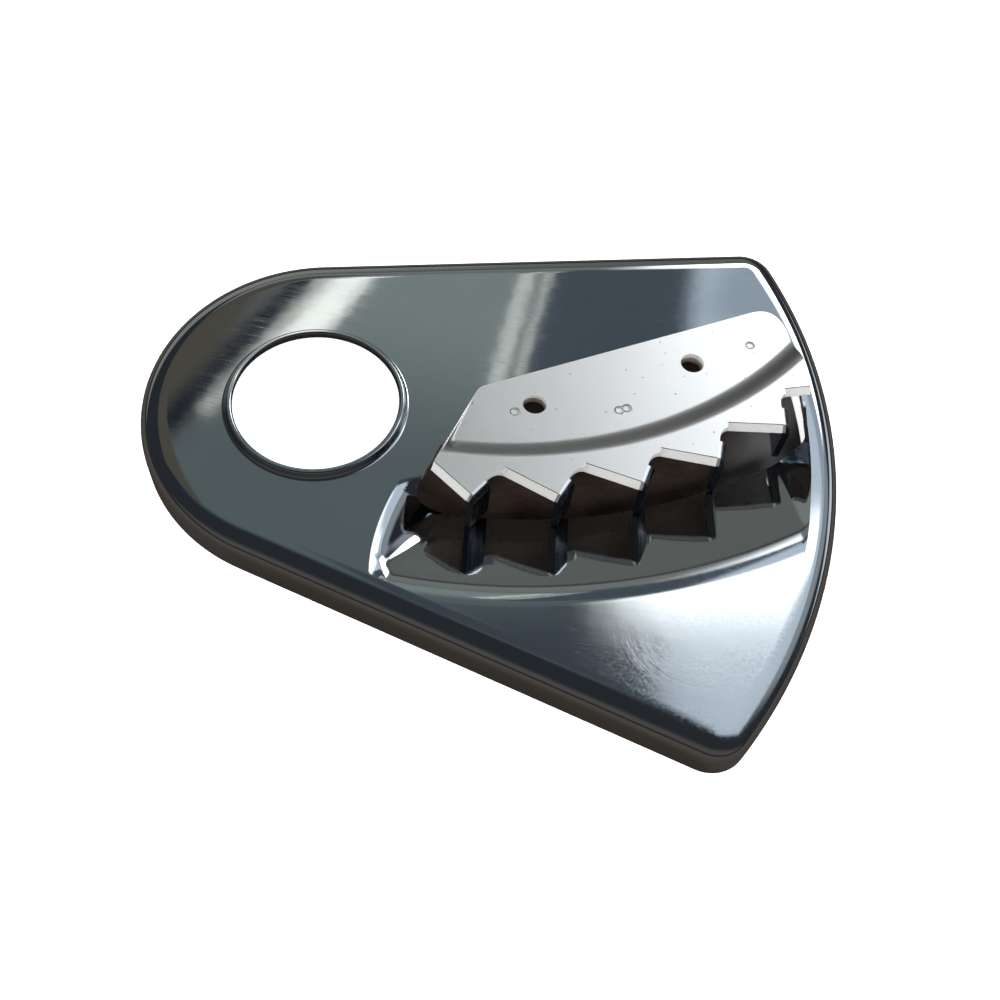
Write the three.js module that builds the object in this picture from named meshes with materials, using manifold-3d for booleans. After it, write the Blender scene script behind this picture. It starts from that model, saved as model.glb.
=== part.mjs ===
// Sector cutting plate of a kitchen food cutter: a pressed stainless plate with a rolled-down
// skirt, a lipped hub hole, a drawn feed ramp and a curved slot, and a saw-toothed strip blade
// that is spot-welded on top of it. Millimetres, +Z up, standing on the edge of its skirt.
import Module from 'manifold-3d';
import * as THREE from 'three';
import { mergeVertices } from 'three/addons/utils/BufferGeometryUtils.js';

// Plate
const sheet = 0.8; // thickness of the pressed sheet
const roundEndRadius = 23.6; // rounded end that carries the hub hole
const outerRadius = 70; // large arc at the wide end
const outerCentreX = -4.4; // centre of the large arc, measured from the centre of the rounded end
const sideSlope = THREE.MathUtils.degToRad(14.8); // each straight side leaves the centre line by this angle
const cornerRadius = 4.7; // plan corners between the sides and the large arc
const edgeRadius = 2.8; // rolled edge between the top and the skirt
const skirtHeight = 5.7; // top face down to the edge of the skirt

// Hub hole with its turned-up lip
const hubCentre = new THREE.Vector2(-1.4, -0.9);
const hubRadius = 10.4;
const lipHeight = 1.0;
const lipFootRadius = 0.55; // fillet between the lip and the top face
const lipEdgeRound = 0.25;

// Blade: everything in it turns about one centre
const bladeCentre = new THREE.Vector2(13, 50);
const bladeSheet = 0.9;
const bladeSeat = 0.05; // closed joint between the blade and the plate
const joggleRadius = 53.3; // where the blade starts to rise
const joggleWidth = 3.8;
const joggleRise = 1.9;
const toothRootDepth = 5.8; // gullets, from the joggle radius
const toothDepth = 3.8; // gullet to tip
const shortFlankDepth = 2.6; // straight part of a short flank, measured inwards from the tip
const gulletDepth = 0.4; // gullet behind the start of the long flank
const toothPitch = THREE.MathUtils.degToRad(9.65);
const firstTip = THREE.MathUtils.degToRad(6.1); // from straight down (-Y), turning to +X
const shortFlankShare = 0.2; // part of a pitch that the short flank takes
const gulletShare = 0.43; // part of a pitch at which the next long flank starts
const innerEndSlope = THREE.MathUtils.degToRad(14.1); // blade's inner end, from the Y direction
const innerEndX = 17.05; // where the inner end crosses the centre line
const innerEndLength = 14.65;
const heelOuterWidth = 4.646; // joggle to the outer corner of the straight back edge
const heelCornerRadius = 3.2;
const bladeEndMargin = 3.75; // blade's outer end to the plate's large arc
const bevelWidth = 0.75;
const bevelStep = 0.12; // shallow shoulder behind the ground bevel
const bevelLand = 0.12; // thickness left at the cutting edge
const tabBendRadius = 0.1; // inside radius where a tab folds down
const tabRampGap = 0.2; // clearance of the tabs above the feed ramp

// Slot and feed ramp
const slotEndGap = 1.05; // slot beyond the blade's inner end
const slotOuterOverlap = 0.35; // slot short of the blade's outer end
const slotFrontSetback = 1.2; // front edge behind the tooth tips at the inner end
const slotWidening = 2.9; // how much further out the front edge is at the outer end
const slotCornerRadius = 1.4;
const slotHeelCornerRadius = 3.4;
const rampLength = 11.6; // feed ramp in front of the slot
const rampDepth = 4.0; // depth of the ramp at the slot
const rampBow = 0.275; // share of the depth by which the ramp is bowed
const innerWallX = 10.5; // inner side wall of the ramp
const innerWallBow = 0.018;
const innerWallBowSetback = 4.3; // its straightest point, behind the ramp's front line
const innerWallSlope = 0.72;
const outerWallMargin = 3.1; // outer side wall, from the large arc
const outerWallSlope = 1.1;
const backWallSlope = 1.2;

// Locating holes and welds: distance inside the joggle, and share of the way from the blade's
// inner end to its outer end
const locatingHoleRadius = 1.55;
const locatingHoles = [
  { inset: 5.6, share: 0.172 },
  { inset: 5.6, share: 0.645 },
];
const weldRadius = 0.62;
const weldClearance = 0.06;
const weldDepth = 0.45; // how far a weld reaches into the plate
const weldSink = 0.04; // weld face below the blade's top face
const doubleWeldPitch = 1.05;
const welds = [
  { name: 'spot_weld_inner', inset: 4.5, share: 0.127, strikes: 1 },
  { name: 'spot_weld_middle', inset: 2.8, share: 0.427, strikes: 2 },
  { name: 'spot_weld_outer', inset: 3.2, share: 0.854, strikes: 1 },
];

// Fineness of the curves
const arcStep = THREE.MathUtils.degToRad(4);
const bendStep = THREE.MathUtils.degToRad(22.5);
const filletSteps = 4;
const joggleSteps = 8;
const slotSteps = 20;
const rampGrid = 1.9; // spacing of the points on the feed ramp
const drillSides = 32;
const samePoint = 1e-4; // points closer than this are one point
const cutMargin = 3; // how far a cutting solid runs past what it cuts

const wasm = await Module();
wasm.setup();

const bladeEndRadius = outerRadius - bladeEndMargin;
const outerCentre = new THREE.Vector2(outerCentreX, 0);
const tipRadius = joggleRadius + toothRootDepth + toothDepth;
const innerWallBowY = bladeCentre.y - (tipRadius - slotFrontSetback + rampLength) + innerWallBowSetback;
const bladeFrontTop = bladeSeat + bladeSheet + joggleRise;
const bladeFrontBottom = bladeFrontTop - bladeSheet;
const tabBend = tabBendRadius + bladeSheet;
const rootRadius = tipRadius - toothDepth;
const slotEndRadius = bladeEndRadius - slotOuterOverlap;
const allThrough = skirtHeight + cutMargin;

// ---- solids -------------------------------------------------------------------------------

function toSolid(geometry) {
  const bare = geometry.clone();
  bare.deleteAttribute('normal');
  bare.deleteAttribute('uv');
  const merged = mergeVertices(bare, samePoint);
  const mesh = new wasm.Mesh({
    numProp: 3,
    vertProperties: new Float32Array(merged.attributes.position.array),
    triVerts: new Uint32Array(merged.index.array),
  });
  return new wasm.Manifold(mesh);
}

function toGeometry(solid) {
  const mesh = solid.getMesh();
  const geometry = new THREE.BufferGeometry();
  geometry.setAttribute('position', new THREE.BufferAttribute(mesh.vertProperties, 3));
  geometry.setIndex(new THREE.BufferAttribute(mesh.triVerts, 1));
  return geometry;
}

// Closed solid through level rings of equal point count, listed from the bottom up.
function loftSolid(rings) {
  const count = rings[0].points.length;
  const positions = rings.flatMap((ring) => ring.points.flatMap((p) => [p.x, p.y, ring.z]));
  const index = [];
  for (let level = 0; level + 1 < rings.length; level++) {
    for (let i = 0; i < count; i++) {
      const a = level * count + i;
      const b = level * count + ((i + 1) % count);
      index.push(a, b, b + count, a, b + count, a + count);
    }
  }
  const top = (rings.length - 1) * count;
  for (const [a, b, c] of THREE.ShapeUtils.triangulateShape(rings[0].points, [])) {
    index.push(a, c, b, top + a, top + b, top + c);
  }
  const geometry = new THREE.BufferGeometry();
  geometry.setAttribute('position', new THREE.Float32BufferAttribute(positions, 3));
  geometry.setIndex(index);
  return toSolid(geometry);
}

function prism(points, bottom, top) {
  return loftSolid([{ points, z: bottom }, { points, z: top }]);
}

// Section given as (distance to the right of the line, height), drawn along a line in plan.
function bar(section, from, to) {
  const along = to.clone().sub(from);
  const shape = new THREE.Shape(section.map(([right, height]) => new THREE.Vector2(right, height)));
  const geometry = new THREE.ExtrudeGeometry(shape, { depth: along.length(), bevelEnabled: false });
  const run = new THREE.Vector3(along.x, along.y, 0).normalize();
  const right = new THREE.Vector3(run.y, -run.x, 0);
  const up = new THREE.Vector3(0, 0, 1);
  // right x up points back along the run, so the bar is drawn from its far end
  geometry.applyMatrix4(new THREE.Matrix4().makeBasis(right, up, run.clone().negate()));
  geometry.translate(to.x, to.y, 0);
  return toSolid(geometry);
}

// Body of revolution about a vertical axis, from a closed (radius, height) profile.
function turned(profile, centre, step = arcStep) {
  const points = profile.map(([r, z]) => new THREE.Vector2(r, z));
  points.push(points[0].clone());
  const geometry = new THREE.LatheGeometry(points, Math.round((2 * Math.PI) / step));
  geometry.rotateX(Math.PI / 2);
  geometry.translate(centre.x, centre.y, 0);
  return toSolid(geometry);
}

function drill(radius, centre, bottom, top) {
  const geometry = new THREE.CylinderGeometry(radius, radius, top - bottom, drillSides);
  geometry.rotateX(Math.PI / 2);
  geometry.translate(centre.x, centre.y, (top + bottom) / 2);
  return toSolid(geometry);
}

function arcPoints(centre, radius, from, to, step = arcStep) {
  const steps = Math.max(2, Math.ceil(Math.abs(to - from) / step));
  const points = [];
  for (let i = 0; i <= steps; i++) {
    const angle = from + ((to - from) * i) / steps;
    points.push(new THREE.Vector2(centre.x + radius * Math.cos(angle), centre.y + radius * Math.sin(angle)));
  }
  return points;
}

// Closed outline from sides that run corner to corner, each with the radius of its last corner.
function roundedOutline(sides) {
  const corners = sides.map(({ points, radius }, i) => {
    const corner = points.at(-1);
    const back = points.at(-2).clone().sub(corner).normalize();
    const ahead = sides[(i + 1) % sides.length].points[1].clone().sub(corner).normalize();
    const reach = radius / Math.tan(Math.acos(back.dot(ahead)) / 2);
    const start = corner.clone().addScaledVector(back, reach);
    const end = corner.clone().addScaledVector(ahead, reach);
    const curve = new THREE.QuadraticBezierCurve(start, corner, end).getPoints(filletSteps + 1);
    return { corner, reach, curve: radius > 0 ? curve : [corner] };
  });
  return sides.flatMap(({ points }, i) => {
    const ends = [corners.at(i - 1), corners[i]];
    const free = points.filter((point) => ends.every(({ corner, reach }) => point.distanceTo(corner) > reach));
    return [...free, ...corners[i].curve];
  });
}

// Point by radius and angle about the blade's centre, the angle counted from straight down.
function bladePoint(radius, angle) {
  const x = bladeCentre.x + radius * Math.sin(angle);
  const y = bladeCentre.y - radius * Math.cos(angle);
  return new THREE.Vector2(x, y);
}

function bladePolar(point) {
  const radius = bladeCentre.distanceTo(point);
  const angle = Math.atan2(point.x - bladeCentre.x, bladeCentre.y - point.y);
  return { radius, angle };
}

// Where the blade's inner end line, moved outwards by an offset, meets a circle about its centre.
function innerEndAt(radius, offset = 0) {
  const start = new THREE.Vector2(innerEndX - offset / Math.cos(innerEndSlope), 0);
  const run = new THREE.Vector2(-Math.sin(innerEndSlope), -Math.cos(innerEndSlope));
  const apart = start.clone().sub(bladeCentre);
  const half = apart.dot(run);
  const reach = -half + Math.sqrt(half ** 2 - apart.lengthSq() + radius ** 2);
  return start.addScaledVector(run, reach);
}

// Where a circle about the blade's centre meets a circle about the large arc's centre.
function outerEndAt(bladeRadius, plateRadius = bladeEndRadius) {
  const gap = bladeCentre.distanceTo(outerCentre);
  const along = (bladeRadius ** 2 - plateRadius ** 2 + gap ** 2) / (2 * gap);
  const across = Math.sqrt(bladeRadius ** 2 - along ** 2);
  const line = outerCentre.clone().sub(bladeCentre).divideScalar(gap);
  const side = new THREE.Vector2(-line.y, line.x);
  return bladeCentre.clone().addScaledVector(line, along).addScaledVector(side, across);
}

// Point on the blade by distance inside the joggle and share of the way to the outer end.
function bladePlace(inset, share, alongArc = 0) {
  const radius = joggleRadius - inset;
  const from = bladePolar(innerEndAt(radius)).angle;
  const to = bladePolar(outerEndAt(radius)).angle;
  return bladePoint(radius, from + (to - from) * share + alongArc / radius);
}

function angleAbout(centre, point) {
  return Math.atan2(point.y - centre.y, point.x - centre.x);
}

function arcBetween(centre, from, to) {
  return arcPoints(centre, centre.distanceTo(from), angleAbout(centre, from), angleAbout(centre, to), arcStep / 2);
}

// ---- plate --------------------------------------------------------------------------------

function plateOutline(inset) {
  const sideNormal = new THREE.Vector2(-Math.sin(sideSlope), Math.cos(sideSlope));
  const sideRun = new THREE.Vector2(Math.cos(sideSlope), Math.sin(sideSlope));
  const foot = sideNormal.clone().multiplyScalar(roundEndRadius - cornerRadius);
  const offset = foot.clone().sub(outerCentre);
  const half = offset.dot(sideRun);
  const reach = -half + Math.sqrt(half ** 2 - offset.lengthSq() + (outerRadius - cornerRadius) ** 2);
  const upper = foot.clone().addScaledVector(sideRun, reach);
  const lower = new THREE.Vector2(upper.x, -upper.y);
  const origin = new THREE.Vector2(0, 0);
  const arcEnd = angleAbout(outerCentre, upper);
  const sideAngle = Math.PI / 2 + sideSlope;
  return [
    ...arcPoints(outerCentre, outerRadius - inset, -arcEnd, arcEnd),
    ...arcPoints(upper, cornerRadius - inset, arcEnd, sideAngle).slice(1),
    ...arcPoints(origin, roundEndRadius - inset, sideAngle, 2 * Math.PI - sideAngle),
    ...arcPoints(lower, cornerRadius - inset, -sideAngle, -arcEnd).slice(0, -1),
  ];
}

// Solid block inside the plate's outline with its top edge rolled over.
function domedBlock(inset, radius, bottom, top) {
  const rings = [{ points: plateOutline(inset), z: bottom }];
  for (let i = 0; i <= filletSteps; i++) {
    const angle = (i / filletSteps) * (Math.PI / 2);
    const points = plateOutline(inset + radius * (1 - Math.cos(angle)));
    rings.push({ points, z: top - radius * (1 - Math.sin(angle)) });
  }
  return loftSolid(rings);
}

const slotOuterAngle = bladePolar(outerEndAt(tipRadius)).angle;
const rampBackInner = innerEndAt(tipRadius - slotFrontSetback - slotCornerRadius, slotEndGap);
const rampBackOuter = outerEndAt(tipRadius - slotFrontSetback, slotEndRadius);
const rampBackRun = rampBackOuter.clone().sub(rampBackInner).normalize();

// The slot's front edge moves outwards from the tooth tips towards the outer end.
function slotFrontRadius(angle) {
  const share = Math.max(0, angle / slotOuterAngle);
  return tipRadius - slotFrontSetback + slotWidening * share ** 2;
}

function rampFloorDepth(radius, angle) {
  const share = (slotFrontRadius(angle) + rampLength - radius) / rampLength;
  return rampDepth * share * (1 + rampBow - rampBow * share);
}

// Height of the pressed ramp: the shallowest of its floor and its three side walls. Outside the
// ramp it stays above the top face.
function rampHeight(point) {
  const { radius, angle } = bladePolar(point);
  const innerWall = innerWallX + innerWallBow * (point.y - innerWallBowY) ** 2;
  const outerWall = outerRadius - outerWallMargin - outerCentre.distanceTo(point);
  const fromBack = point.clone().sub(rampBackInner);
  const behind = fromBack.x * rampBackRun.y - fromBack.y * rampBackRun.x;
  return -Math.min(
    rampFloorDepth(radius, angle),
    innerWallSlope * (point.x - innerWall),
    outerWallSlope * outerWall,
    backWallSlope * (behind + slotCornerRadius / 2),
  );
}

// Everything above the ramp, dropped by some depth: a grid that follows it, under a flat lid.
function aboveRamp(drop) {
  const low = new THREE.Vector2(innerWallX - cutMargin, bladeCentre.y - tipRadius - rampLength - cutMargin);
  const high = new THREE.Vector2(outerCentreX + outerRadius - edgeRadius, outerEndAt(tipRadius).y);
  const columns = Math.ceil((high.x - low.x) / rampGrid);
  const rows = Math.ceil((high.y - low.y) / rampGrid);
  const at = (i, j) => j * (columns + 1) + i;
  const lid = (columns + 1) * (rows + 1);
  const floor = [];
  const cover = [];
  for (let j = 0; j <= rows; j++) {
    for (let i = 0; i <= columns; i++) {
      const point = new THREE.Vector2(low.x + i * rampGrid, low.y + j * rampGrid);
      floor.push(point.x, point.y, Math.min(rampHeight(point) - drop, cutMargin));
      cover.push(point.x, point.y, 2 * cutMargin);
    }
  }
  const index = [];
  for (let j = 0; j < rows; j++) {
    for (let i = 0; i < columns; i++) {
      const [a, b, c, d] = [at(i, j), at(i + 1, j), at(i + 1, j + 1), at(i, j + 1)];
      index.push(a, c, b, a, d, c);
      index.push(lid + a, lid + b, lid + c, lid + a, lid + c, lid + d);
    }
  }
  const steps = (count, pick) => Array.from({ length: count }, (_, k) => pick(k));
  const rim = [
    ...steps(columns, (k) => at(k, 0)),
    ...steps(rows, (k) => at(columns, k)),
    ...steps(columns, (k) => at(columns - k, rows)),
    ...steps(rows, (k) => at(0, rows - k)),
  ];
  rim.forEach((a, k) => {
    const b = rim[(k + 1) % rim.length];
    index.push(a, b, lid + b, a, lid + b, lid + a);
  });
  const geometry = new THREE.BufferGeometry();
  geometry.setAttribute('position', new THREE.Float32BufferAttribute([...floor, ...cover], 3));
  geometry.setIndex(index);
  return toSolid(geometry);
}

// Sheet turned up around the hub hole; its foot ends inside the thickness of the plate.
function hubLip() {
  const outer = hubRadius + sheet;
  const bendCentre = new THREE.Vector2(outer + lipFootRadius, lipFootRadius);
  const bend = (radius) => arcPoints(bendCentre, radius, Math.PI, 1.5 * Math.PI, bendStep).map((p) => p.toArray());
  const buried = bendCentre.x + sheet / 4;
  const profile = [
    [buried, (-3 * sheet) / 4],
    [buried, -sheet / 4],
    ...bend(lipFootRadius).reverse(),
    [outer, lipHeight - lipEdgeRound],
    [outer - lipEdgeRound, lipHeight],
    [hubRadius + lipEdgeRound, lipHeight],
    [hubRadius, lipHeight - lipEdgeRound],
    ...bend(lipFootRadius + sheet),
  ];
  return turned(profile, hubCentre);
}

function slotOutline() {
  const heelInner = innerEndAt(joggleRadius, slotEndGap);
  const heelOuter = outerEndAt(joggleRadius, slotEndRadius);
  const frontInner = innerEndAt(slotFrontRadius(0), slotEndGap);
  const startAngle = bladePolar(frontInner).angle;
  const front = [];
  for (let i = 0; i <= slotSteps; i++) {
    const angle = startAngle + ((slotOuterAngle - startAngle) * i) / slotSteps;
    const point = bladePoint(slotFrontRadius(angle), angle);
    if (outerCentre.distanceTo(point) < slotEndRadius) {
      front.push(point);
    }
  }
  const frontOuter = outerEndAt(slotFrontRadius(bladePolar(front.at(-1)).angle), slotEndRadius);
  front[front.length - 1] = frontOuter;
  const side = arcBetween(outerCentre, frontOuter, heelOuter);
  const back = arcBetween(bladeCentre, heelOuter, heelInner);
  return roundedOutline([
    { points: [heelInner, frontInner], radius: slotCornerRadius },
    { points: front, radius: slotCornerRadius },
    { points: side, radius: slotHeelCornerRadius },
    { points: back, radius: sheet },
  ]);
}

// A weld is struck once or twice, each strike leaving a round nugget.
function weldSolid({ inset, share, strikes }, grow, bottom, top) {
  const solids = [];
  for (let i = 0; i < strikes; i++) {
    const centre = bladePlace(inset, share, (i - (strikes - 1) / 2) * doubleWeldPitch);
    solids.push(drill(weldRadius + grow, centre, bottom, top));
  }
  return solids.reduce((joined, next) => joined.add(next));
}

// Locating holes and weld seats, cut alike in the plate and the blade.
function cutHoles(solid, weldBottom) {
  let cut = solid;
  for (const { inset, share } of locatingHoles) {
    cut = cut.subtract(drill(locatingHoleRadius, bladePlace(inset, share), -allThrough, allThrough));
  }
  for (const weld of welds) {
    cut = cut.subtract(weldSolid(weld, weldClearance, weldBottom, allThrough));
  }
  return cut;
}

function cuttingPlate() {
  const skin = domedBlock(0, edgeRadius, -skirtHeight, 0).subtract(aboveRamp(0));
  const hollow = domedBlock(sheet, edgeRadius - sheet, -allThrough, -sheet).subtract(aboveRamp(sheet));
  const lipSeat = drill(hubRadius + sheet + lipFootRadius / 2, hubCentre, -allThrough, allThrough);
  const slot = prism(slotOutline(), -allThrough, allThrough);
  const plate = skin.subtract(hollow).subtract(lipSeat).add(hubLip()).subtract(slot);
  return cutHoles(plate, -weldDepth - weldClearance);
}

// ---- blade --------------------------------------------------------------------------------

// Flat heel, smooth rise and raised front, as a ring about the blade's centre.
function joggledRing() {
  const line = [[joggleRadius / 3, bladeSeat]];
  for (let i = 0; i <= joggleSteps; i++) {
    const share = i / joggleSteps;
    const rise = joggleRise * share * share * (3 - 2 * share);
    line.push([joggleRadius + joggleWidth * share, bladeSeat + rise]);
  }
  line.push([tipRadius + cutMargin, bladeFrontBottom]);
  const upper = line.map(([r, z]) => [r, z + bladeSheet]).reverse();
  return turned([...line, ...upper], bladeCentre, arcStep / 2);
}

// Heel edge, outer end and inner end; open towards the teeth.
function bladeBody() {
  const beyond = tipRadius + cutMargin;
  const root = innerEndAt(rootRadius);
  const innerRun = new THREE.Vector2(Math.sin(innerEndSlope), Math.cos(innerEndSlope));
  const heelInner = root.clone().addScaledVector(innerRun, innerEndLength);
  const heelOuter = outerEndAt(joggleRadius - heelOuterWidth);
  const frontInner = innerEndAt(beyond);
  const frontOuter = outerEndAt(beyond);
  return roundedOutline([
    { points: arcBetween(bladeCentre, frontInner, frontOuter), radius: 0 },
    { points: arcBetween(outerCentre, frontOuter, heelOuter), radius: heelCornerRadius },
    { points: [heelOuter, heelInner], radius: bladeSheet },
    { points: [heelInner, frontInner], radius: 0 },
  ]);
}

// Corners of the tooth whose tip is at this angle, and of the gullet after it.
function tooth(tipAngle) {
  return {
    tip: bladePoint(tipRadius, tipAngle),
    shortEnd: bladePoint(tipRadius - shortFlankDepth, tipAngle + shortFlankShare * toothPitch),
    gullet: bladePoint(rootRadius - gulletDepth, tipAngle + ((shortFlankShare + gulletShare) / 2) * toothPitch),
    longStart: bladePoint(rootRadius, tipAngle + gulletShare * toothPitch),
    nextTip: bladePoint(tipRadius, tipAngle + toothPitch),
  };
}

function allTeeth() {
  const count = Math.ceil((slotOuterAngle - firstTip) / toothPitch);
  return Array.from({ length: count }, (_, i) => tooth(firstTip + i * toothPitch));
}

// Area behind the saw-tooth line, from before the first tooth to past the blade's outer end.
function toothedArea(teeth) {
  const pastEnd = bladePolar(teeth.at(-1).nextTip).angle + 2 * toothPitch;
  const points = [bladePoint(rootRadius, -toothPitch), innerEndAt(rootRadius)];
  for (const { tip, shortEnd, gullet, longStart } of teeth) {
    points.push(tip, ...new THREE.QuadraticBezierCurve(shortEnd, gullet, longStart).getPoints(filletSteps + 2));
  }
  points.push(teeth.at(-1).nextTip, bladePoint(tipRadius, pastEnd));
  points.push(bladePoint(joggleRadius / 2, pastEnd), bladePoint(joggleRadius / 2, -toothPitch));
  return points;
}

// Dividing tab folded down from a short flank.
function foldedTab({ tip, shortEnd }) {
  const section = [[-tabBendRadius, bladeFrontBottom], [-tabBendRadius, bladeFrontTop]];
  const bendCentre = new THREE.Vector2(0, bladeFrontTop - tabBend);
  for (const point of arcPoints(bendCentre, tabBend, Math.PI / 2, 0, bendStep)) {
    section.push(point.toArray());
  }
  const tabBottom = tabRampGap - rampFloorDepth(tipRadius + tabBend / 2, 0);
  section.push([tabBend, tabBottom], [tabBendRadius, tabBottom]);
  section.push([tabBendRadius, bladeFrontBottom - tabBendRadius], [0, bladeFrontBottom]);
  return bar(section, tip, shortEnd);
}

// Wedge that grinds the bevel along a long flank, and runs on over the corner of the tab.
function bevelCut(from, to) {
  const run = to.clone().sub(from).normalize();
  const shoulder = bladeFrontTop - bevelStep;
  const edge = bladeFrontBottom + bevelLand;
  const above = bladeFrontTop + cutMargin;
  const section = [
    [-bevelWidth, above],
    [-bevelWidth, shoulder],
    [bevelWidth, 2 * edge - shoulder],
    [bevelWidth, above],
  ];
  return bar(section, from, to.clone().addScaledVector(run, tabBend));
}

function toothedBlade() {
  const teeth = allTeeth();
  const body = prism(bladeBody(), -cutMargin, 2 * cutMargin);
  const toothed = prism(toothedArea(teeth), -cutMargin, 2 * cutMargin);
  let blade = joggledRing().intersect(body).intersect(toothed);
  for (const each of teeth) {
    blade = blade.add(foldedTab(each));
  }
  blade = blade.subtract(bevelCut(innerEndAt(rootRadius), teeth[0].tip));
  for (const { longStart, nextTip } of teeth) {
    blade = blade.subtract(bevelCut(longStart, nextTip));
  }
  return cutHoles(blade, -cutMargin);
}

// ---- assembly -----------------------------------------------------------------------------

function part(name, solid, colour, roughness) {
  const material = new THREE.MeshStandardMaterial({ color: colour, roughness, metalness: 1 });
  const mesh = new THREE.Mesh(toGeometry(solid), material);
  mesh.name = name;
  return mesh;
}

const object = new THREE.Group();
object.add(part('cutting_plate', cuttingPlate(), 0x8d9498, 0.18));
object.add(part('toothed_blade', toothedBlade(), 0xc4c7c9, 0.35));
for (const weld of welds) {
  const solid = weldSolid(weld, 0, -weldDepth, bladeSeat + bladeSheet - weldSink);
  object.add(part(weld.name, solid, 0xb9b09a, 0.4));
}
// The origin is under the middle of the plate's length, at the edge of the skirt.
object.position.set(-(outerCentreX + outerRadius - roundEndRadius) / 2, 0, skirtHeight);

export default object;
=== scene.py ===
import math

import bmesh
import bpy
from mathutils import Matrix, Vector
from mathutils.geometry import delaunay_2d_cdt


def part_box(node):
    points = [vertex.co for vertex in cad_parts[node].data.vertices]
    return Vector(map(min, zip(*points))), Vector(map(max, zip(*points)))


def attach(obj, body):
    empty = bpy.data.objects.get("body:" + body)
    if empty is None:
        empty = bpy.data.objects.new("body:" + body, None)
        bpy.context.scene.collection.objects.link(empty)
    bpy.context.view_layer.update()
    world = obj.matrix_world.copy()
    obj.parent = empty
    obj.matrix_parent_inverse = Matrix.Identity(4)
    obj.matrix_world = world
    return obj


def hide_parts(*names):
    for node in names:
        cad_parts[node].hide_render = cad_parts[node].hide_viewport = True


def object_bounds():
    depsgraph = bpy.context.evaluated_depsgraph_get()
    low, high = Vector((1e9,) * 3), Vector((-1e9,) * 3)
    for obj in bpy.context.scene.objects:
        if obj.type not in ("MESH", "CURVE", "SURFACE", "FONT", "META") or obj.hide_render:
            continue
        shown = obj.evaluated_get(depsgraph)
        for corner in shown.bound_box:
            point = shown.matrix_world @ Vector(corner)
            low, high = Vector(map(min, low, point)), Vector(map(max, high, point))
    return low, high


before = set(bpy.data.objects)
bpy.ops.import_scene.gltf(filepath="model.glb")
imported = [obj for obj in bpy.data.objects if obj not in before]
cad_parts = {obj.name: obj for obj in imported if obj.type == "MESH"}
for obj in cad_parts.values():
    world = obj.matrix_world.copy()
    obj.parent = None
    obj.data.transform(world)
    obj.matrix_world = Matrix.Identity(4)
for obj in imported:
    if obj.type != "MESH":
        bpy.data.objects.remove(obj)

cad_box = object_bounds()

# ---- Cutting plate --------------------------------------------------------------------------
# One 0.8 mm stainless sheet. It is blanked, the slot and holes are punched, and one press stroke
# draws the feed ramp, rolls the skirt down all round and turns the hub lip up. It leaves the
# press polished to a mirror with a fine grain along its length.

MM = 0.001
UP = Vector((0.0, 0.0, 1.0))
SHEET = 0.8
ROLL_WIDTH = 3.7  # rolled edge between the top and the skirt, as a squarish quarter of an ellipse
ROLL_HEIGHT = 2.9
ROLL_SQUARENESS = 2.5
ROLL_STEPS = 14
EDGE_BREAK = 0.18  # rounding left on the skirt's sheared edge
EDGE_BREAK_SHARES = (0.07, 0.93)  # where a sheared wall's softened corners end
ROUND_END_RADIUS = 23.6
OUTER_RADIUS = 70.0
SIDE_SLOPE = math.radians(14.8)
CORNER_RADIUS = 4.7
HUB_CENTRE = Vector((-1.4, -0.9))
HUB_RADIUS = 10.4
LIP_HEIGHT = 1.0
LIP_STEPS = 120  # points round the lip
LIP_FOOT = 0.55
LIP_ROUND = 0.3  # rounding of the lip's upper edge
SLOT_END_GAP = 1.05  # the slot runs past the blade's inner end
SLOT_OUTER_OVERLAP = 0.35  # the blade laps over the slot's outer end
SLOT_SETBACK = 1.2  # the tips reach past the slot's front edge at its inner end
SLOT_WIDENING = 2.9  # the front edge swings forward by this towards the outer end
SLOT_CORNER = 1.4
SLOT_FRONT_STEPS = 60
SLOT_SIDE_STEPS = 12
SLOT_HEEL_CORNER = 3.4
RAMP_LENGTH = 11.6
RAMP_DEPTH = 4.0
RAMP_BOW = 0.275  # share by which the ramp's floor starts steeper than it ends
INNER_WALL_X = 10.5
INNER_WALL_BOW = 0.018  # the wall curves away by this times the square of its length
INNER_WALL_BOW_Y = -19.0  # where the wall comes nearest the hub
INNER_WALL_SLOPE = 0.72
OUTER_WALL_MARGIN = 3.1  # from the large arc to the top of the ramp's outer wall
OUTER_WALL_SLOPE = 1.1
BACK_WALL_SLOPE = 1.2
WALL_TOP_SOFTNESS = 1.15  # half width over which a wall rolls over into the top face
BACK_TOP_SOFTNESS = 0.5
FLOOR_TOP_SOFTNESS = 2.2
VALLEY_SOFTNESS = 1.1  # largest blend between two walls of the ramp
RAMP_STEP = 0.29  # spacing of the mesh on the ramp
RAMP_MESH_SIDE = 3.0  # how far the fine mesh is tried beyond the ramp's walls
RAMP_MESH_FRONT = 4.0
NORMAL_STEP = 0.15  # half the distance over which the ramp's slope is measured
HOLE_RADIUS = 1.55
HOLE_STEPS = 40  # points round a locating hole
SEAT_STEPS = 24  # points round one strike's seat
WELD_RADIUS = 0.62
WELD_GAP = 0.06
WELD_DEPTH = 0.45
DOUBLE_WELD_PITCH = 1.05
HOLE_INSET = 5.6  # behind the joggle
HOLE_SHARES = (0.172, 0.645)  # along the blade
ARC_STEP = math.radians(1)
RIM_STEP = math.radians(1.5)
RIM_CORNER_STEP = math.radians(6)
SAME_POINT = 0.01  # points of an outline keep at least this far apart

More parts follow.
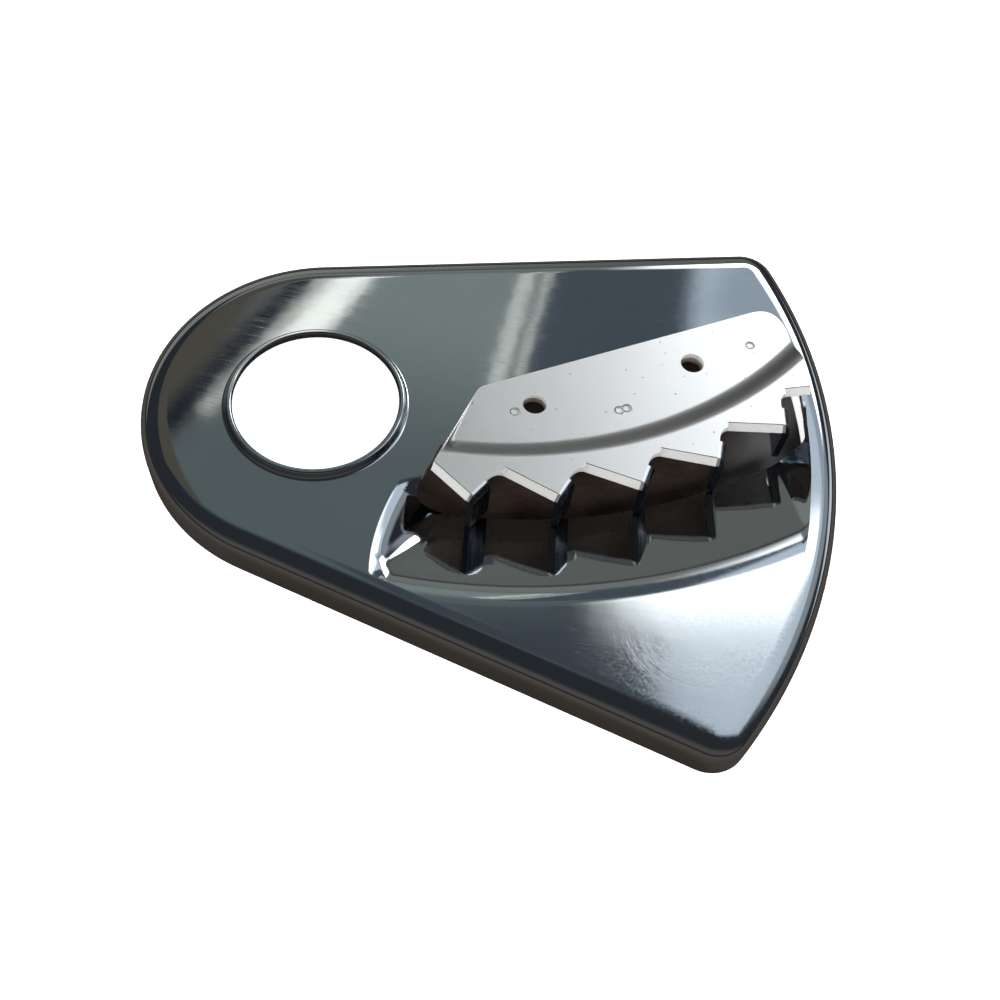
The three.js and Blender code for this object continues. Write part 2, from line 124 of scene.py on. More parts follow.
# The blade's own layout, which the slot and the ramp follow: circles about one centre.
BLADE_CENTRE = Vector((13.0, 50.0))
BLADE_SHEET = 0.9
BLADE_SEAT = 0.05
JOGGLE_RADIUS = 53.3
JOGGLE_WIDTH = 3.8
JOGGLE_RISE = 1.9
TIP_RADIUS = 62.9
ROOT_RADIUS = 59.1
INNER_END_SLOPE = math.radians(14.1)
INNER_END_X = 17.05
BLADE_END_MARGIN = 3.75

plate_low, plate_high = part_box("cutting_plate")
TOP_FACE = plate_high.z / MM - LIP_HEIGHT
SKIRT_HEIGHT = TOP_FACE - plate_low.z / MM
round_end = Vector((plate_low.x / MM + ROUND_END_RADIUS, (plate_low.y + plate_high.y) / 2 / MM))
outer_centre = Vector((plate_high.x / MM - OUTER_RADIUS - round_end.x, 0.0))
blade_end_radius = OUTER_RADIUS - BLADE_END_MARGIN
slot_end_radius = blade_end_radius - SLOT_OUTER_OVERLAP


def place(point, height):
    """Plate drawing (mm from the middle of the rounded end, top face at 0) to the row frame."""
    return Vector((point[0] + round_end.x, point[1] + round_end.y, height + TOP_FACE)) * MM


def polar(centre, radius, angle):
    return Vector((centre[0] + radius * math.cos(angle), centre[1] + radius * math.sin(angle)))


def arc(centre, radius, start, end):
    count = max(2, math.ceil(abs(end - start) / ARC_STEP))
    return [polar(centre, radius, start + (end - start) * i / count) for i in range(count + 1)]


def blade_point(radius, angle):
    """Point about the blade's centre, the angle counted from straight down towards the wide end."""
    return polar(BLADE_CENTRE, radius, angle - math.pi / 2)


def blade_polar(point):
    away = Vector(point[:2]) - BLADE_CENTRE
    return away.length, math.atan2(away.x, -away.y)


def on_line(start, run, centre, radius):
    """Last point of a line at a distance from a centre."""
    apart = start - centre
    half = apart.dot(run)
    return start + run * (-half + math.sqrt(half * half - apart.length_squared + radius * radius))


def inner_end_at(radius, offset=0.0):
    start = Vector((INNER_END_X - offset / math.cos(INNER_END_SLOPE), 0.0))
    run = Vector((-math.sin(INNER_END_SLOPE), -math.cos(INNER_END_SLOPE)))
    return on_line(start, run, BLADE_CENTRE, radius)


def outer_end_at(blade_radius, plate_radius=blade_end_radius):
    gap = (BLADE_CENTRE - outer_centre).length
    along = (blade_radius**2 - plate_radius**2 + gap**2) / (2 * gap)
    across = math.sqrt(blade_radius**2 - along**2)
    line = (outer_centre - BLADE_CENTRE) / gap
    return BLADE_CENTRE + line * along + Vector((-line.y, line.x)) * across


def blade_place(inset, share, along_arc=0.0):
    """Point behind the joggle, at a share of the blade's length."""
    radius = JOGGLE_RADIUS - inset
    start = blade_polar(inner_end_at(radius))[1]
    end = blade_polar(outer_end_at(radius))[1]
    return blade_point(radius, start + (end - start) * share + along_arc / radius)


slot_outer_angle = blade_polar(outer_end_at(TIP_RADIUS))[1]
back_inner = inner_end_at(TIP_RADIUS - SLOT_SETBACK - SLOT_CORNER, SLOT_END_GAP)
back_outer = outer_end_at(TIP_RADIUS - SLOT_SETBACK, slot_end_radius)
back_run = (back_outer - back_inner).normalized()
locating_holes = [blade_place(HOLE_INSET, share) for share in HOLE_SHARES]
weld_strikes = {
    "spot_weld_inner": [blade_place(4.5, 0.127)],
    "spot_weld_middle": [blade_place(2.8, 0.427, side * DOUBLE_WELD_PITCH / 2) for side in (-1, 1)],
    "spot_weld_outer": [blade_place(3.2, 0.854)],
}


def slot_front_radius(angle):
    share = max(0.0, angle / slot_outer_angle)
    return TIP_RADIUS - SLOT_SETBACK + SLOT_WIDENING * share * share


def rolled(distance, slope, softness):
    """Depth of a wall that starts at distance 0 and rolls over smoothly at its top."""
    if distance <= -softness:
        return 0.0
    if distance >= softness:
        return slope * distance
    return slope * (distance + softness) ** 2 / (4 * softness)


def blended_least(a, b):
    """The smaller depth, with the valley between two walls rounded."""
    width = min(VALLEY_SOFTNESS, a + b)
    if width <= 0.0:
        return 0.0
    near = max(width - abs(a - b), 0.0) / width
    return min(a, b) - near * near * width / 4


def ramp_sides(x, y):
    """Distance into the ramp from its front line, and from its inner, outer and back walls."""
    radius, angle = blade_polar((x, y))
    front = slot_front_radius(angle) + RAMP_LENGTH - radius
    inner = x - INNER_WALL_X - INNER_WALL_BOW * (y - INNER_WALL_BOW_Y) ** 2
    outer = OUTER_RADIUS - OUTER_WALL_MARGIN - math.hypot(x - outer_centre.x, y - outer_centre.y)
    back = (x - back_inner.x) * back_run.y - (y - back_inner.y) * back_run.x + SLOT_CORNER / 2
    return front, inner, outer, back


def ramp_depth(x, y):
    front, inner, outer, back = ramp_sides(x, y)
    share = max(0.0, front + FLOOR_TOP_SOFTNESS) / RAMP_LENGTH
    floor = rolled(front, RAMP_DEPTH / RAMP_LENGTH, FLOOR_TOP_SOFTNESS) * (1 + RAMP_BOW - RAMP_BOW * share)
    depth = blended_least(floor, rolled(inner, INNER_WALL_SLOPE, WALL_TOP_SOFTNESS))
    depth = blended_least(depth, rolled(outer, OUTER_WALL_SLOPE, WALL_TOP_SOFTNESS))
    return blended_least(depth, rolled(back, BACK_WALL_SLOPE, BACK_TOP_SOFTNESS))


def top_normal(x, y):
    slope_x = ramp_depth(x + NORMAL_STEP, y) - ramp_depth(x - NORMAL_STEP, y)
    slope_y = ramp_depth(x, y + NORMAL_STEP) - ramp_depth(x, y - NORMAL_STEP)
    return Vector((slope_x, slope_y, 2 * NORMAL_STEP)).normalized()


def plate_rim():
    """Plate outline as (centre, radius, direction) triples, so that any inset keeps its arcs round."""
    side_normal = Vector((-math.sin(SIDE_SLOPE), math.cos(SIDE_SLOPE)))
    side_run = Vector((math.cos(SIDE_SLOPE), math.sin(SIDE_SLOPE)))
    foot = side_normal * (ROUND_END_RADIUS - CORNER_RADIUS)
    upper = on_line(foot, side_run, outer_centre, OUTER_RADIUS - CORNER_RADIUS)
    lower = Vector((upper.x, -upper.y))
    end = math.atan2(upper.y - outer_centre.y, upper.x - outer_centre.x)
    side = math.pi / 2 + SIDE_SLOPE
    arcs = [
        (outer_centre, OUTER_RADIUS, -end, end),
        (upper, CORNER_RADIUS, end, side),
        (Vector((0.0, 0.0)), ROUND_END_RADIUS, side, 2 * math.pi - side),
        (lower, CORNER_RADIUS, 2 * math.pi - side, 2 * math.pi - end),
    ]
    rim = []
    for centre, radius, start, stop in arcs:
        step = RIM_STEP if radius > 2 * CORNER_RADIUS else RIM_CORNER_STEP
        count = math.ceil((stop - start) / step)
        for i in range(count + 1):
            rim.append((centre, radius, start + (stop - start) * i / count))
    return rim


def rim_ring(rim, inset):
    return [polar(centre, radius - inset, angle) for centre, radius, angle in rim]


def rolled_edge(share):
    """Inset, drop and slanting normal (outward, up) along the rolled edge, from the top face down."""
    turn = share * math.pi / 2
    power = 2 / ROLL_SQUARENESS
    inset = ROLL_WIDTH * (1 - math.sin(turn) ** power)
    drop = ROLL_HEIGHT * (1 - math.cos(turn) ** power)
    side = math.sin(turn) ** (2 - power) / ROLL_WIDTH
    rise = math.cos(turn) ** (2 - power) / ROLL_HEIGHT
    length = math.hypot(side, rise)
    return inset, drop, (side / length, rise / length)


def curve_points(start, control, end, steps):
    """Smooth curve from start to end that heads for the control point."""
    points = []
    for i in range(steps + 1):
        t = i / steps
        points.append(start * (1 - t) ** 2 + control * 2 * t * (1 - t) + end * t * t)
    return points


def rounded_outline(sides, corner_steps=8):
    """Closed outline from sides that run corner to corner, each with its last corner's radius."""
    corners = []
    for i, (points, radius) in enumerate(sides):
        corner = points[-1]
        back = (points[-2] - corner).normalized()
        ahead = (sides[(i + 1) % len(sides)][0][1] - corner).normalized()
        reach = radius / math.tan(math.acos(max(-1.0, min(1.0, back.dot(ahead)))) / 2)
        curve = curve_points(corner + back * reach, corner, corner + ahead * reach, corner_steps)
        corners.append((corner, reach, curve if radius > 0 else [corner]))
    outline = []
    for i, (points, _) in enumerate(sides):
        ends = [corners[i - 1], corners[i]]
        outline += [p for p in points if all((p - c).length > reach + SAME_POINT for c, reach, _ in ends)]
        outline += corners[i][2]
    return outline


def arc_between(centre, start, end):
    a = math.atan2(start.y - centre.y, start.x - centre.x)
    b = math.atan2(end.y - centre.y, end.x - centre.x)
    return arc(centre, (start - centre).length, a, b)


def slot_outline():
    heel_inner = inner_end_at(JOGGLE_RADIUS, SLOT_END_GAP)
    heel_outer = outer_end_at(JOGGLE_RADIUS, slot_end_radius)
    front_inner = inner_end_at(slot_front_radius(0.0), SLOT_END_GAP)
    start = blade_polar(front_inner)[1]
    front = []
    for i in range(SLOT_FRONT_STEPS + 1):
        angle = start + (slot_outer_angle - start) * i / SLOT_FRONT_STEPS
        point = blade_point(slot_front_radius(angle), angle)
        if (point - outer_centre).length < slot_end_radius:
            front.append(point)
    front_outer = outer_end_at(slot_front_radius(blade_polar(front[-1])[1]), slot_end_radius)
    front[-1] = front_outer
    shares = [i / SLOT_SIDE_STEPS for i in range(SLOT_SIDE_STEPS + 1)]
    inner_side = [heel_inner.lerp(front_inner, share) for share in shares]
    return rounded_outline([
        (inner_side, SLOT_CORNER),
        (front, SLOT_CORNER),
        (arc_between(outer_centre, front_outer, heel_outer), SLOT_HEEL_CORNER),
        (arc_between(BLADE_CENTRE, heel_outer, heel_inner), SHEET),
    ])


def circle(centre, radius, count):
    return [polar(centre, radius, 2 * math.pi * i / count) for i in range(count)]


def inside(point, loop):
    hit = False
    for a, b in zip(loop, loop[1:] + loop[:1]):
        if (a.y > point.y) != (b.y > point.y):
            if point.x < a.x + (b.x - a.x) * (point.y - a.y) / (b.y - a.y):
                hit = not hit
    return hit


def fill(outline, holes, extra, lines=()):
    """Triangles that fill an outline, around its holes and through extra points and lines."""
    points, edges, loops = [], [], []
    for loop in [outline] + holes:
        first = len(points)
        count = len(loop)
        points += [Vector(p[:2]) for p in loop]
        edges += [(first + i, first + (i + 1) % count) for i in range(count)]
        loops.append(range(first, first + count))
    for line in lines:
        first = len(points)
        points += line
        edges += [(first + i, first + i + 1) for i in range(len(line) - 1)]
    points += [Vector(p[:2]) for p in extra]
    found, _, faces, origins, _, _ = delaunay_2d_cdt(points, edges, [], 1, 1e-5)
    place_of = {}
    for index, sources in enumerate(origins):
        for source in sources:
            place_of[source] = index
    kept = []
    for face in faces:
        middle = (found[face[0]] + found[face[1]] + found[face[2]]) / 3
        if not any(inside(middle, hole) for hole in holes):
            a, b, c = (found[i] for i in face)
            turn = (b - a).cross(c - a)
            kept.append(tuple(face) if turn > 0 else tuple(reversed(face)))
    return [Vector(p) for p in found], kept, [[place_of[i] for i in loop] for loop in loops]


class Shell:
    """Mesh under construction: points with their own normals for each face corner."""

    def __init__(self):
        self.points = []
        self.faces = []
        self.normals = []
        self.zones = []

    def add(self, points):
        first = len(self.points)
        self.points += points
        return list(range(first, first + len(points)))

    def face(self, corners, normals, zone=0):
        self.faces.append(tuple(corners))
        self.normals.append([Vector(n) for n in normals])
        self.zones.append(zone)

    def band(self, lower, upper, lower_normals, upper_normals, zone=0, closed=True):
        """Faces between two rows of points of equal count, facing right of their direction."""
        count = len(lower)
        for i in range(count if closed else count - 1):
            j = (i + 1) % count
            self.face(
                (lower[i], lower[j], upper[j], upper[i]),
                (lower_normals[i], lower_normals[j], upper_normals[j], upper_normals[i]),
                zone,
            )

    def build(self, name, materials, masks=None):
        mesh = bpy.data.meshes.new(name)
        mesh.from_pydata(self.points, [], self.faces)
        corner_normals = [normal for face in self.normals for normal in face]
        mesh.polygons.foreach_set("use_smooth", [True] * len(mesh.polygons))
        mesh.polygons.foreach_set("material_index", self.zones)
        mesh.normals_split_custom_set(corner_normals)
        for mask, values in (masks or {}).items():
            mesh.attributes.new(mask, "FLOAT", "POINT").data.foreach_set("value", values)
        for material in materials:
            mesh.materials.append(material)
        piece = bpy.data.objects.new(name, mesh)
        bpy.context.scene.collection.objects.link(piece)
        return piece


def side_normals(line, closed=True):
    """Level normals to the right of a line, averaged at each point."""
    normals = []
    last = len(line) - 1
    for i in range(len(line)):
        before = line[i - 1] if closed or i > 0 else line[0]
        after = line[(i + 1) % len(line)] if closed or i < last else line[last]
        run = (after - before).normalized()
        normals.append(Vector((run.y, -run.x, 0.0)))
    return normals


def sheared_wall(shell, line, top, bottom, top_normals, bottom_normals, closed=True, zone=1):
    """Wall to the right of a line, from its top points to its bottom points, with softened edges."""
    side = side_normals(line, closed)
    rows = [(top, top_normals)]
    for share in EDGE_BREAK_SHARES:
        row = [shell.points[i].lerp(shell.points[j], share) for i, j in zip(top, bottom)]
        rows.append((shell.add(row), side))
    rows.append((bottom, bottom_normals))
    for (upper, upper_n), (lower, lower_n) in zip(rows, rows[1:]):
        shell.band(lower, upper, lower_n, upper_n, zone, closed)


def ramp_points(outline, slot):
    """Even points all over the ramp and a little way round it, outside the slot."""
    right = outer_centre.x + OUTER_RADIUS - ROLL_WIDTH
    high = back_outer.y + RAMP_MESH_SIDE
    points = []
    y = BLADE_CENTRE.y - TIP_RADIUS - RAMP_LENGTH - RAMP_MESH_FRONT
    while y < high:
        x = INNER_WALL_X - RAMP_MESH_SIDE
        while x < right:
            point = Vector((x, y))
            near_ramp = min(ramp_sides(x, y)) > -FLOOR_TOP_SOFTNESS - RAMP_STEP
            if near_ramp and inside(point, outline) and not inside(point, slot):
                points.append(point)
            x += RAMP_STEP
        y += RAMP_STEP
    return points


def roll_and_skirt(shell, rim, rim_top, rim_under):
    """Rolled edge and skirt, down the outside, round the sheared edge and up the inside."""
    outward = [Vector((math.cos(angle), math.sin(angle), 0.0)) for _, _, angle in rim]
    rows = [(rim_top, [UP] * len(rim))]
    roll = [rolled_edge(i / ROLL_STEPS) for i in range(1, ROLL_STEPS + 1)]
    for inset, drop, (side, rise) in roll:
        points = shell.add([place(p, -drop) for p in rim_ring(rim, inset)])
        rows.append((points, [UP * rise + away * side for away in outward]))
    for inset, height, lean in (
        (0.0, EDGE_BREAK, 0.0),
        (EDGE_BREAK * 0.3, EDGE_BREAK * 0.3, 0.7),
        (EDGE_BREAK, 0.0, 1.0),
        (SHEET - EDGE_BREAK, 0.0, 1.0),
    ):
        points = shell.add([place(p, height - SKIRT_HEIGHT) for p in rim_ring(rim, inset)])
        rows.append((points, [(away * (1 - lean) - UP * lean).normalized() for away in outward]))
    points = shell.add([place(p, EDGE_BREAK - SKIRT_HEIGHT) for p in rim_ring(rim, SHEET)])
    rows.append((points, [-away for away in outward]))
    for inset, drop, (side, rise) in reversed(roll):
        points = shell.add([place(p, -drop - SHEET * rise) for p in rim_ring(rim, inset + SHEET * side)])
        rows.append((points, [UP * -rise - away * side for away in outward]))
    rows.append((rim_under, [-UP] * len(rim)))
    for (first, first_n), (second, second_n) in zip(rows, rows[1:]):
        shell.band(second, first, second_n, first_n)


def quarter_turn(steps, first=0):
    """Sines and cosines of evenly spaced angles up to a right angle."""
    turns = [i / steps * math.pi / 2 for i in range(first, steps + 1)]
    return [(math.sin(turn), math.cos(turn)) for turn in turns]


def lip_profile():
    """Hub lip as (radius, height, slanting normal): foot, upper edge, bore and the bend underneath."""
    lip_outer = HUB_RADIUS + SHEET
    bend = lip_outer + LIP_FOOT
    under_bend = LIP_FOOT + SHEET
    shoulder = LIP_HEIGHT - LIP_ROUND
    profile = []
    for sin, cos in quarter_turn(6, first=1):
        profile.append((bend - LIP_FOOT * sin, LIP_FOOT * (1 - cos), (sin, cos)))
    for sin, cos in quarter_turn(5):
        profile.append((lip_outer - LIP_ROUND * (1 - cos), shoulder + LIP_ROUND * sin, (cos, sin)))
    for sin, cos in quarter_turn(5):
        profile.append((HUB_RADIUS + LIP_ROUND * (1 - sin), shoulder + LIP_ROUND * cos, (-sin, cos)))
    for sin, cos in quarter_turn(8):
        profile.append((bend - under_bend * cos, LIP_FOOT - under_bend * sin, (-cos, -sin)))
    return profile


def hub_lip(shell, foot_circle, foot_top, foot_under):
    away = [(p - HUB_CENTRE).normalized() for p in foot_circle]
    rows = [(foot_top, [UP] * len(away))]
    for radius, height, (side, rise) in lip_profile()[:-1]:
        points = shell.add([place(HUB_CENTRE + a * radius, height) for a in away])
        rows.append((points, [a.to_3d() * side + UP * rise for a in away]))
    rows.append((foot_under, [-UP] * len(away)))
    for (first, first_n), (second, second_n) in zip(rows, rows[1:]):
        shell.band(first, second, first_n, second_n)


def weld_seats():
    return [weld_outline(strikes, WELD_RADIUS + WELD_GAP, SEAT_STEPS) for strikes in weld_strikes.values()]


def cutting_plate_mesh():
    shell = Shell()
    rim = plate_rim()
    foot_circle = circle(HUB_CENTRE, HUB_RADIUS + SHEET + LIP_FOOT, LIP_STEPS)
    slot = slot_outline()
    holes = [circle(centre, HOLE_RADIUS, HOLE_STEPS) for centre in locating_holes]
    seats = weld_seats()
    outline = rim_ring(rim, ROLL_WIDTH)
    extra = ramp_points(outline, slot)
    plan, triangles, loops = fill(outline, [foot_circle, slot] + holes + seats, extra)
    normals = [top_normal(p.x, p.y) for p in plan]
    depths = [ramp_depth(p.x, p.y) for p in plan]
    upper = [place(p, -depth) for p, depth in zip(plan, depths)]
    lower = [point - normal * SHEET * MM for point, normal in zip(upper, normals)]
    top = shell.add(upper)
    under = shell.add(lower)
    down = [-n for n in normals]
    for face in triangles:
        shell.face([top[i] for i in face], [normals[i] for i in face])
        shell.face([under[i] for i in reversed(face)], [down[i] for i in reversed(face)])
    rim_loop, foot_loop, slot_loop, *hole_loops = loops
    roll_and_skirt(shell, rim, [top[i] for i in rim_loop], [under[i] for i in rim_loop])
    hub_lip(shell, foot_circle, [top[i] for i in foot_loop], [under[i] for i in foot_loop])

    # blind weld seats under an unbroken underside
    for loop, line in zip(hole_loops[len(holes):], seats):
        side = [-n for n in side_normals(line)]
        seat_floor = shell.add([place(p, -WELD_DEPTH - WELD_GAP) for p in line])
        shell.band([top[i] for i in loop], seat_floor, side, side, 1)
        shell.face(seat_floor, [UP] * len(line), 1)
        shell.face([under[i] for i in reversed(loop)], [-UP] * len(line))

    # punched slot and locating holes
    for loop, line in zip([slot_loop] + hole_loops, [slot] + holes):
        loop = loop[::-1]
        sheared_wall(
            shell, line[::-1], [top[i] for i in loop], [under[i] for i in loop],
            [normals[i] for i in loop], [down[i] for i in loop],
        )
    return shell


def weld_outline(strikes, radius, count):
    """Outline around one round strike, or around two that overlap."""
    middle = sum(strikes, Vector((0.0, 0.0))) / len(strikes)
    outline = []
    for i in range(count * len(strikes)):
        direction = polar((0.0, 0.0), 1.0, 2 * math.pi * i / (count * len(strikes)))
        reach = max((on_line(middle, direction, strike, radius) - middle).length for strike in strikes)
        outline.append(middle + direction * reach)
    return outline


class Nodes:
    """Short way to place and join the nodes of one material, world or node group."""

    def __init__(self, tree):
        self.tree = tree

    def add(self, kind, inputs=None, **settings):
        node = self.tree.nodes.new(kind)
        for name, value in settings.items():
            setattr(node, name, value)
        for name, value in (inputs or {}).items():
            self.set(node.inputs[name], value)
        return node

    def set(self, socket, value):
        if isinstance(value, bpy.types.NodeSocket):
            self.tree.links.new(value, socket)
        else:
            socket.default_value = value

    def maths(self, operation, *values, clamp=False):
        node = self.add("ShaderNodeMath", operation=operation, use_clamp=clamp)
        for i, value in enumerate(values):
            self.set(node.inputs[i], value)
        return node.outputs[0]

    def ramp(self, value, low, high, to_low=0.0, to_high=1.0):
        """Smooth step from to_low to to_high as value goes from low to high."""
        inputs = {"Value": value, "From Min": low, "From Max": high, "To Min": to_low, "To Max": to_high}
        return self.add("ShaderNodeMapRange", inputs, interpolation_type="SMOOTHSTEP").outputs[0]

    def blend(self, share, first, second):
        node = self.add("ShaderNodeMix", data_type="RGBA")
        self.set(node.inputs["Factor"], share)
        self.set(node.inputs[6], first)
        self.set(node.inputs[7], second)
        return node.outputs[2]

    def spread(self, scale, offset=(0.0, 0.0, 0.0), turn=0.0):
        """Position on the piece in mm, stretched by scale."""
        where = self.add("ShaderNodeTexCoord").outputs["Object"]
        inputs = {"Vector": where, "Scale": [s / MM for s in scale]}
        inputs["Location"] = offset
        inputs["Rotation"] = (0.0, 0.0, turn)
        return self.add("ShaderNodeMapping", inputs).outputs[0]

    def where(self):
        return self.spread((1.0, 1.0, 1.0))

    def split(self, vector):
        return self.add("ShaderNodeSeparateXYZ", {"Vector": vector}).outputs

    def group(self, tree, **inputs):
        named = {name.replace("_", " "): value for name, value in inputs.items()}
        return self.add("ShaderNodeGroup", node_tree=tree, inputs=named).outputs

    def bump(self, height, strength, distance):
        """Normal of a relief of this distance in mm."""
        inputs = {"Height": height, "Strength": strength, "Distance": distance * MM}
        return self.add("ShaderNodeBump", inputs)

    def noise(self, vector, scale=1.0, detail=2.0, roughness=0.5, distortion=0.0):
        inputs = {
            "Vector": vector, "Scale": scale, "Detail": detail,
            "Roughness": roughness, "Distortion": distortion,
        }
        return self.add("ShaderNodeTexNoise", inputs).outputs[0]


def new_group(name, inputs, outputs):
    """Node group with named inputs (name, default) and outputs; returns its nodes and both ends."""
    tree = bpy.data.node_groups.new(name, "ShaderNodeTree")
    for label, default in inputs:
        kind = "NodeSocketColor" if isinstance(default, tuple) else "NodeSocketFloat"
        tree.interface.new_socket(label, in_out="INPUT", socket_type=kind).default_value = default
    for label, kind in outputs:
        tree.interface.new_socket(label, in_out="OUTPUT", socket_type=kind)
    nodes = Nodes(tree)
    return nodes, nodes.add("NodeGroupInput").outputs, nodes.add("NodeGroupOutput").inputs


def new_material(name):
    material = bpy.data.materials.new(name)
    material.use_nodes = True
    material.node_tree.nodes.clear()
    nodes = Nodes(material.node_tree)
    surface = nodes.add("ShaderNodeBsdfPrincipled")
    output = nodes.add("ShaderNodeOutputMaterial")
    nodes.set(output.inputs["Surface"], surface.outputs[0])
    return material, nodes, surface


def rolling_grain():
    """Fine lines that the rolling mill and the polishing belt leave along the sheet."""
    nodes, given, out = new_group(
        "rolling_grain",
        [("Line length", 9.0), ("Line width", 0.09)],
        [("Lines", "NodeSocketFloat"), ("Drift", "NodeSocketFloat")],
    )
    where = nodes.where()
    split = nodes.split(where)
    along = nodes.maths("DIVIDE", split[0], given["Line length"])
    across = nodes.maths("DIVIDE", split[1], given["Line width"])
    line = nodes.add("ShaderNodeCombineXYZ", {"X": along, "Y": across, "Z": split[2]}).outputs[0]
    nodes.set(out["Lines"], nodes.noise(line, 1.0, 3.0, 0.6))
    nodes.set(out["Drift"], nodes.noise(where, 0.11, 2.0, 0.5))
    return nodes.tree


def fine_scratches():
    """Thin curved handling scratches in two directions, thicker in some places than in others."""
    nodes, given, out = new_group(
        "fine_scratches",
        [("Amount", 0.5)],
        [("Scratches", "NodeSocketFloat")],
    )
    marks = []
    for turn, stretch in ((0.4, 0.05), (-0.75, 0.07)):
        where = nodes.spread((stretch, 1.6, 1.0), turn=turn)
        bent = nodes.noise(where, 1.0, 1.0, 0.5, 0.6)
        thin = nodes.maths("ABSOLUTE", nodes.maths("SUBTRACT", bent, 0.5))
        marks.append(nodes.ramp(thin, 0.0, 0.012, 1.0, 0.0))
    either = nodes.maths("MAXIMUM", *marks)
    moved = nodes.spread((1.0, 1.0, 1.0), (7.0, 3.0, 0.0))
    patches = nodes.ramp(nodes.noise(moved, 0.13, 3.0, 0.6), 0.5, 0.66)
    worn = nodes.maths("MULTIPLY", either, patches)
    nodes.set(out["Scratches"], nodes.maths("MULTIPLY", worn, given["Amount"]))
    return nodes.tree


def wiping_smudge():
    """Thin wiped arcs and a pale cloud, left by a cloth that turned about a centre."""
    nodes, given, out = new_group(
        "wiping_smudge",
        [("Centre X", 0.0), ("Centre Y", 0.0), ("Radius", 7.0), ("Width", 2.5)],
        [("Smudge", "NodeSocketFloat")],
    )
    split = nodes.split(nodes.where())
    x = nodes.maths("SUBTRACT", split[0], given["Centre X"])
    y = nodes.maths("SUBTRACT", split[1], given["Centre Y"])
    squares = nodes.maths("ADD", nodes.maths("MULTIPLY", x, x), nodes.maths("MULTIPLY", y, y))
    radius = nodes.maths("SQRT", squares)
    turn = nodes.maths("ARCTAN2", nodes.maths("MULTIPLY", y, -1.0), x)
    drift = nodes.maths("MULTIPLY_ADD", turn, 1.3, radius)
    rings = nodes.maths("MULTIPLY", drift, 1.5)
    line = nodes.add("ShaderNodeCombineXYZ", {"X": rings, "Y": turn}).outputs[0]
    swirl = nodes.noise(line, 1.0, 3.0, 0.6, 0.35)
    streak = nodes.ramp(nodes.maths("ABSOLUTE", nodes.maths("SUBTRACT", swirl, 0.5)), 0.0, 0.035, 1.0, 0.0)
    cloud = nodes.ramp(swirl, 0.45, 0.75)
    faint = nodes.maths("MULTIPLY", cloud, 0.25)
    both = nodes.maths("ADD", nodes.maths("MULTIPLY", streak, 0.5), faint, clamp=True)
    aside = nodes.maths("ABSOLUTE", nodes.maths("SUBTRACT", radius, given["Radius"]))
    near = nodes.ramp(nodes.maths("DIVIDE", aside, given["Width"]), 0.2, 1.0, 1.0, 0.0)
    swept = nodes.maths("MULTIPLY", nodes.ramp(turn, 0.6, 1.3), nodes.ramp(turn, 2.3, 3.1, 1.0, 0.0))
    nodes.set(out["Smudge"], nodes.maths("MULTIPLY", both, nodes.maths("MULTIPLY", near, swept)))
    return nodes.tree


GRAIN = rolling_grain()
SCRATCHES = fine_scratches()
SMUDGE = wiping_smudge()
POLISHED_COLOUR = (0.60, 0.635, 0.645, 1.0)
POLISHED_SHADE = (0.545, 0.585, 0.60, 1.0)
SMUDGE_COLOUR = (0.76, 0.80, 0.86, 1.0)
TOP_HEIGHT = place((0.0, 0.0), 0.0).z / MM
WORN_CORNER = (61.0, -36.0)  # on the plate's drawing, with the reach of the full and the last wear
WORN_REACH = (8.0, 32.0)
SMUDGE_CENTRE = (47.5, -21.5)
SMUDGE_RADIUS = 7.2
SMUDGE_WIDTH = 3.2


def worn_corner(nodes):
    """Mask that rises towards the front outer corner, where the polish is worn away."""
    split = nodes.split(nodes.where())
    corner = place(WORN_CORNER, 0.0) / MM
    apart = [nodes.maths("POWER", nodes.maths("SUBTRACT", split[i], corner[i]), 2.0) for i in (0, 1)]
    return nodes.ramp(nodes.maths("SQRT", nodes.maths("ADD", *apart)), *WORN_REACH, 1.0, 0.0)


def polished_steel():
    material, nodes, surface = new_material("polished_steel")
    grain = nodes.group(GRAIN, Line_length=9.0, Line_width=0.16)
    marks = nodes.group(SCRATCHES, Amount=0.14)
    at = place(SMUDGE_CENTRE, 0.0) / MM
    smudge = nodes.group(SMUDGE, Centre_X=at.x, Centre_Y=at.y, Radius=SMUDGE_RADIUS, Width=SMUDGE_WIDTH)
    marked = nodes.maths("MAXIMUM", marks["Scratches"], smudge["Smudge"])
    colour = nodes.blend(grain["Drift"], POLISHED_SHADE, POLISHED_COLOUR)
    nodes.set(surface.inputs["Base Color"], nodes.blend(marked, colour, SMUDGE_COLOUR))
    surface.inputs["Metallic"].default_value = 1.0
    mottle = nodes.noise(nodes.where(), 2.6, 4.0, 0.7)
    dulled = nodes.maths("MULTIPLY", worn_corner(nodes), nodes.ramp(mottle, 0.35, 0.65, 0.03, 0.16))
    rough = nodes.maths("ADD", nodes.ramp(grain["Lines"], 0.3, 0.7, 0.03, 0.055), dulled)
    nodes.set(surface.inputs["Roughness"], nodes.maths("ADD", rough, nodes.maths("MULTIPLY", marked, 0.38)))
    height = nodes.split(nodes.where())[2]
    drawn = nodes.ramp(height, TOP_HEIGHT - 0.8, TOP_HEIGHT - 0.1, 2.5, 1.0)
    waves = nodes.maths("MULTIPLY", nodes.noise(nodes.spread((0.35, 0.35, 0.35)), 1.0, 1.0, 0.5), drawn)
    wavy = nodes.bump(waves, 0.5, 0.006)
    bump = nodes.bump(nodes.maths("ADD", grain["Lines"], nodes.maths("MULTIPLY", dulled, 3.0)), 0.02, 0.02)
    nodes.set(bump.inputs["Normal"], wavy.outputs[0])
    nodes.set(surface.inputs["Normal"], bump.outputs[0])
    return material


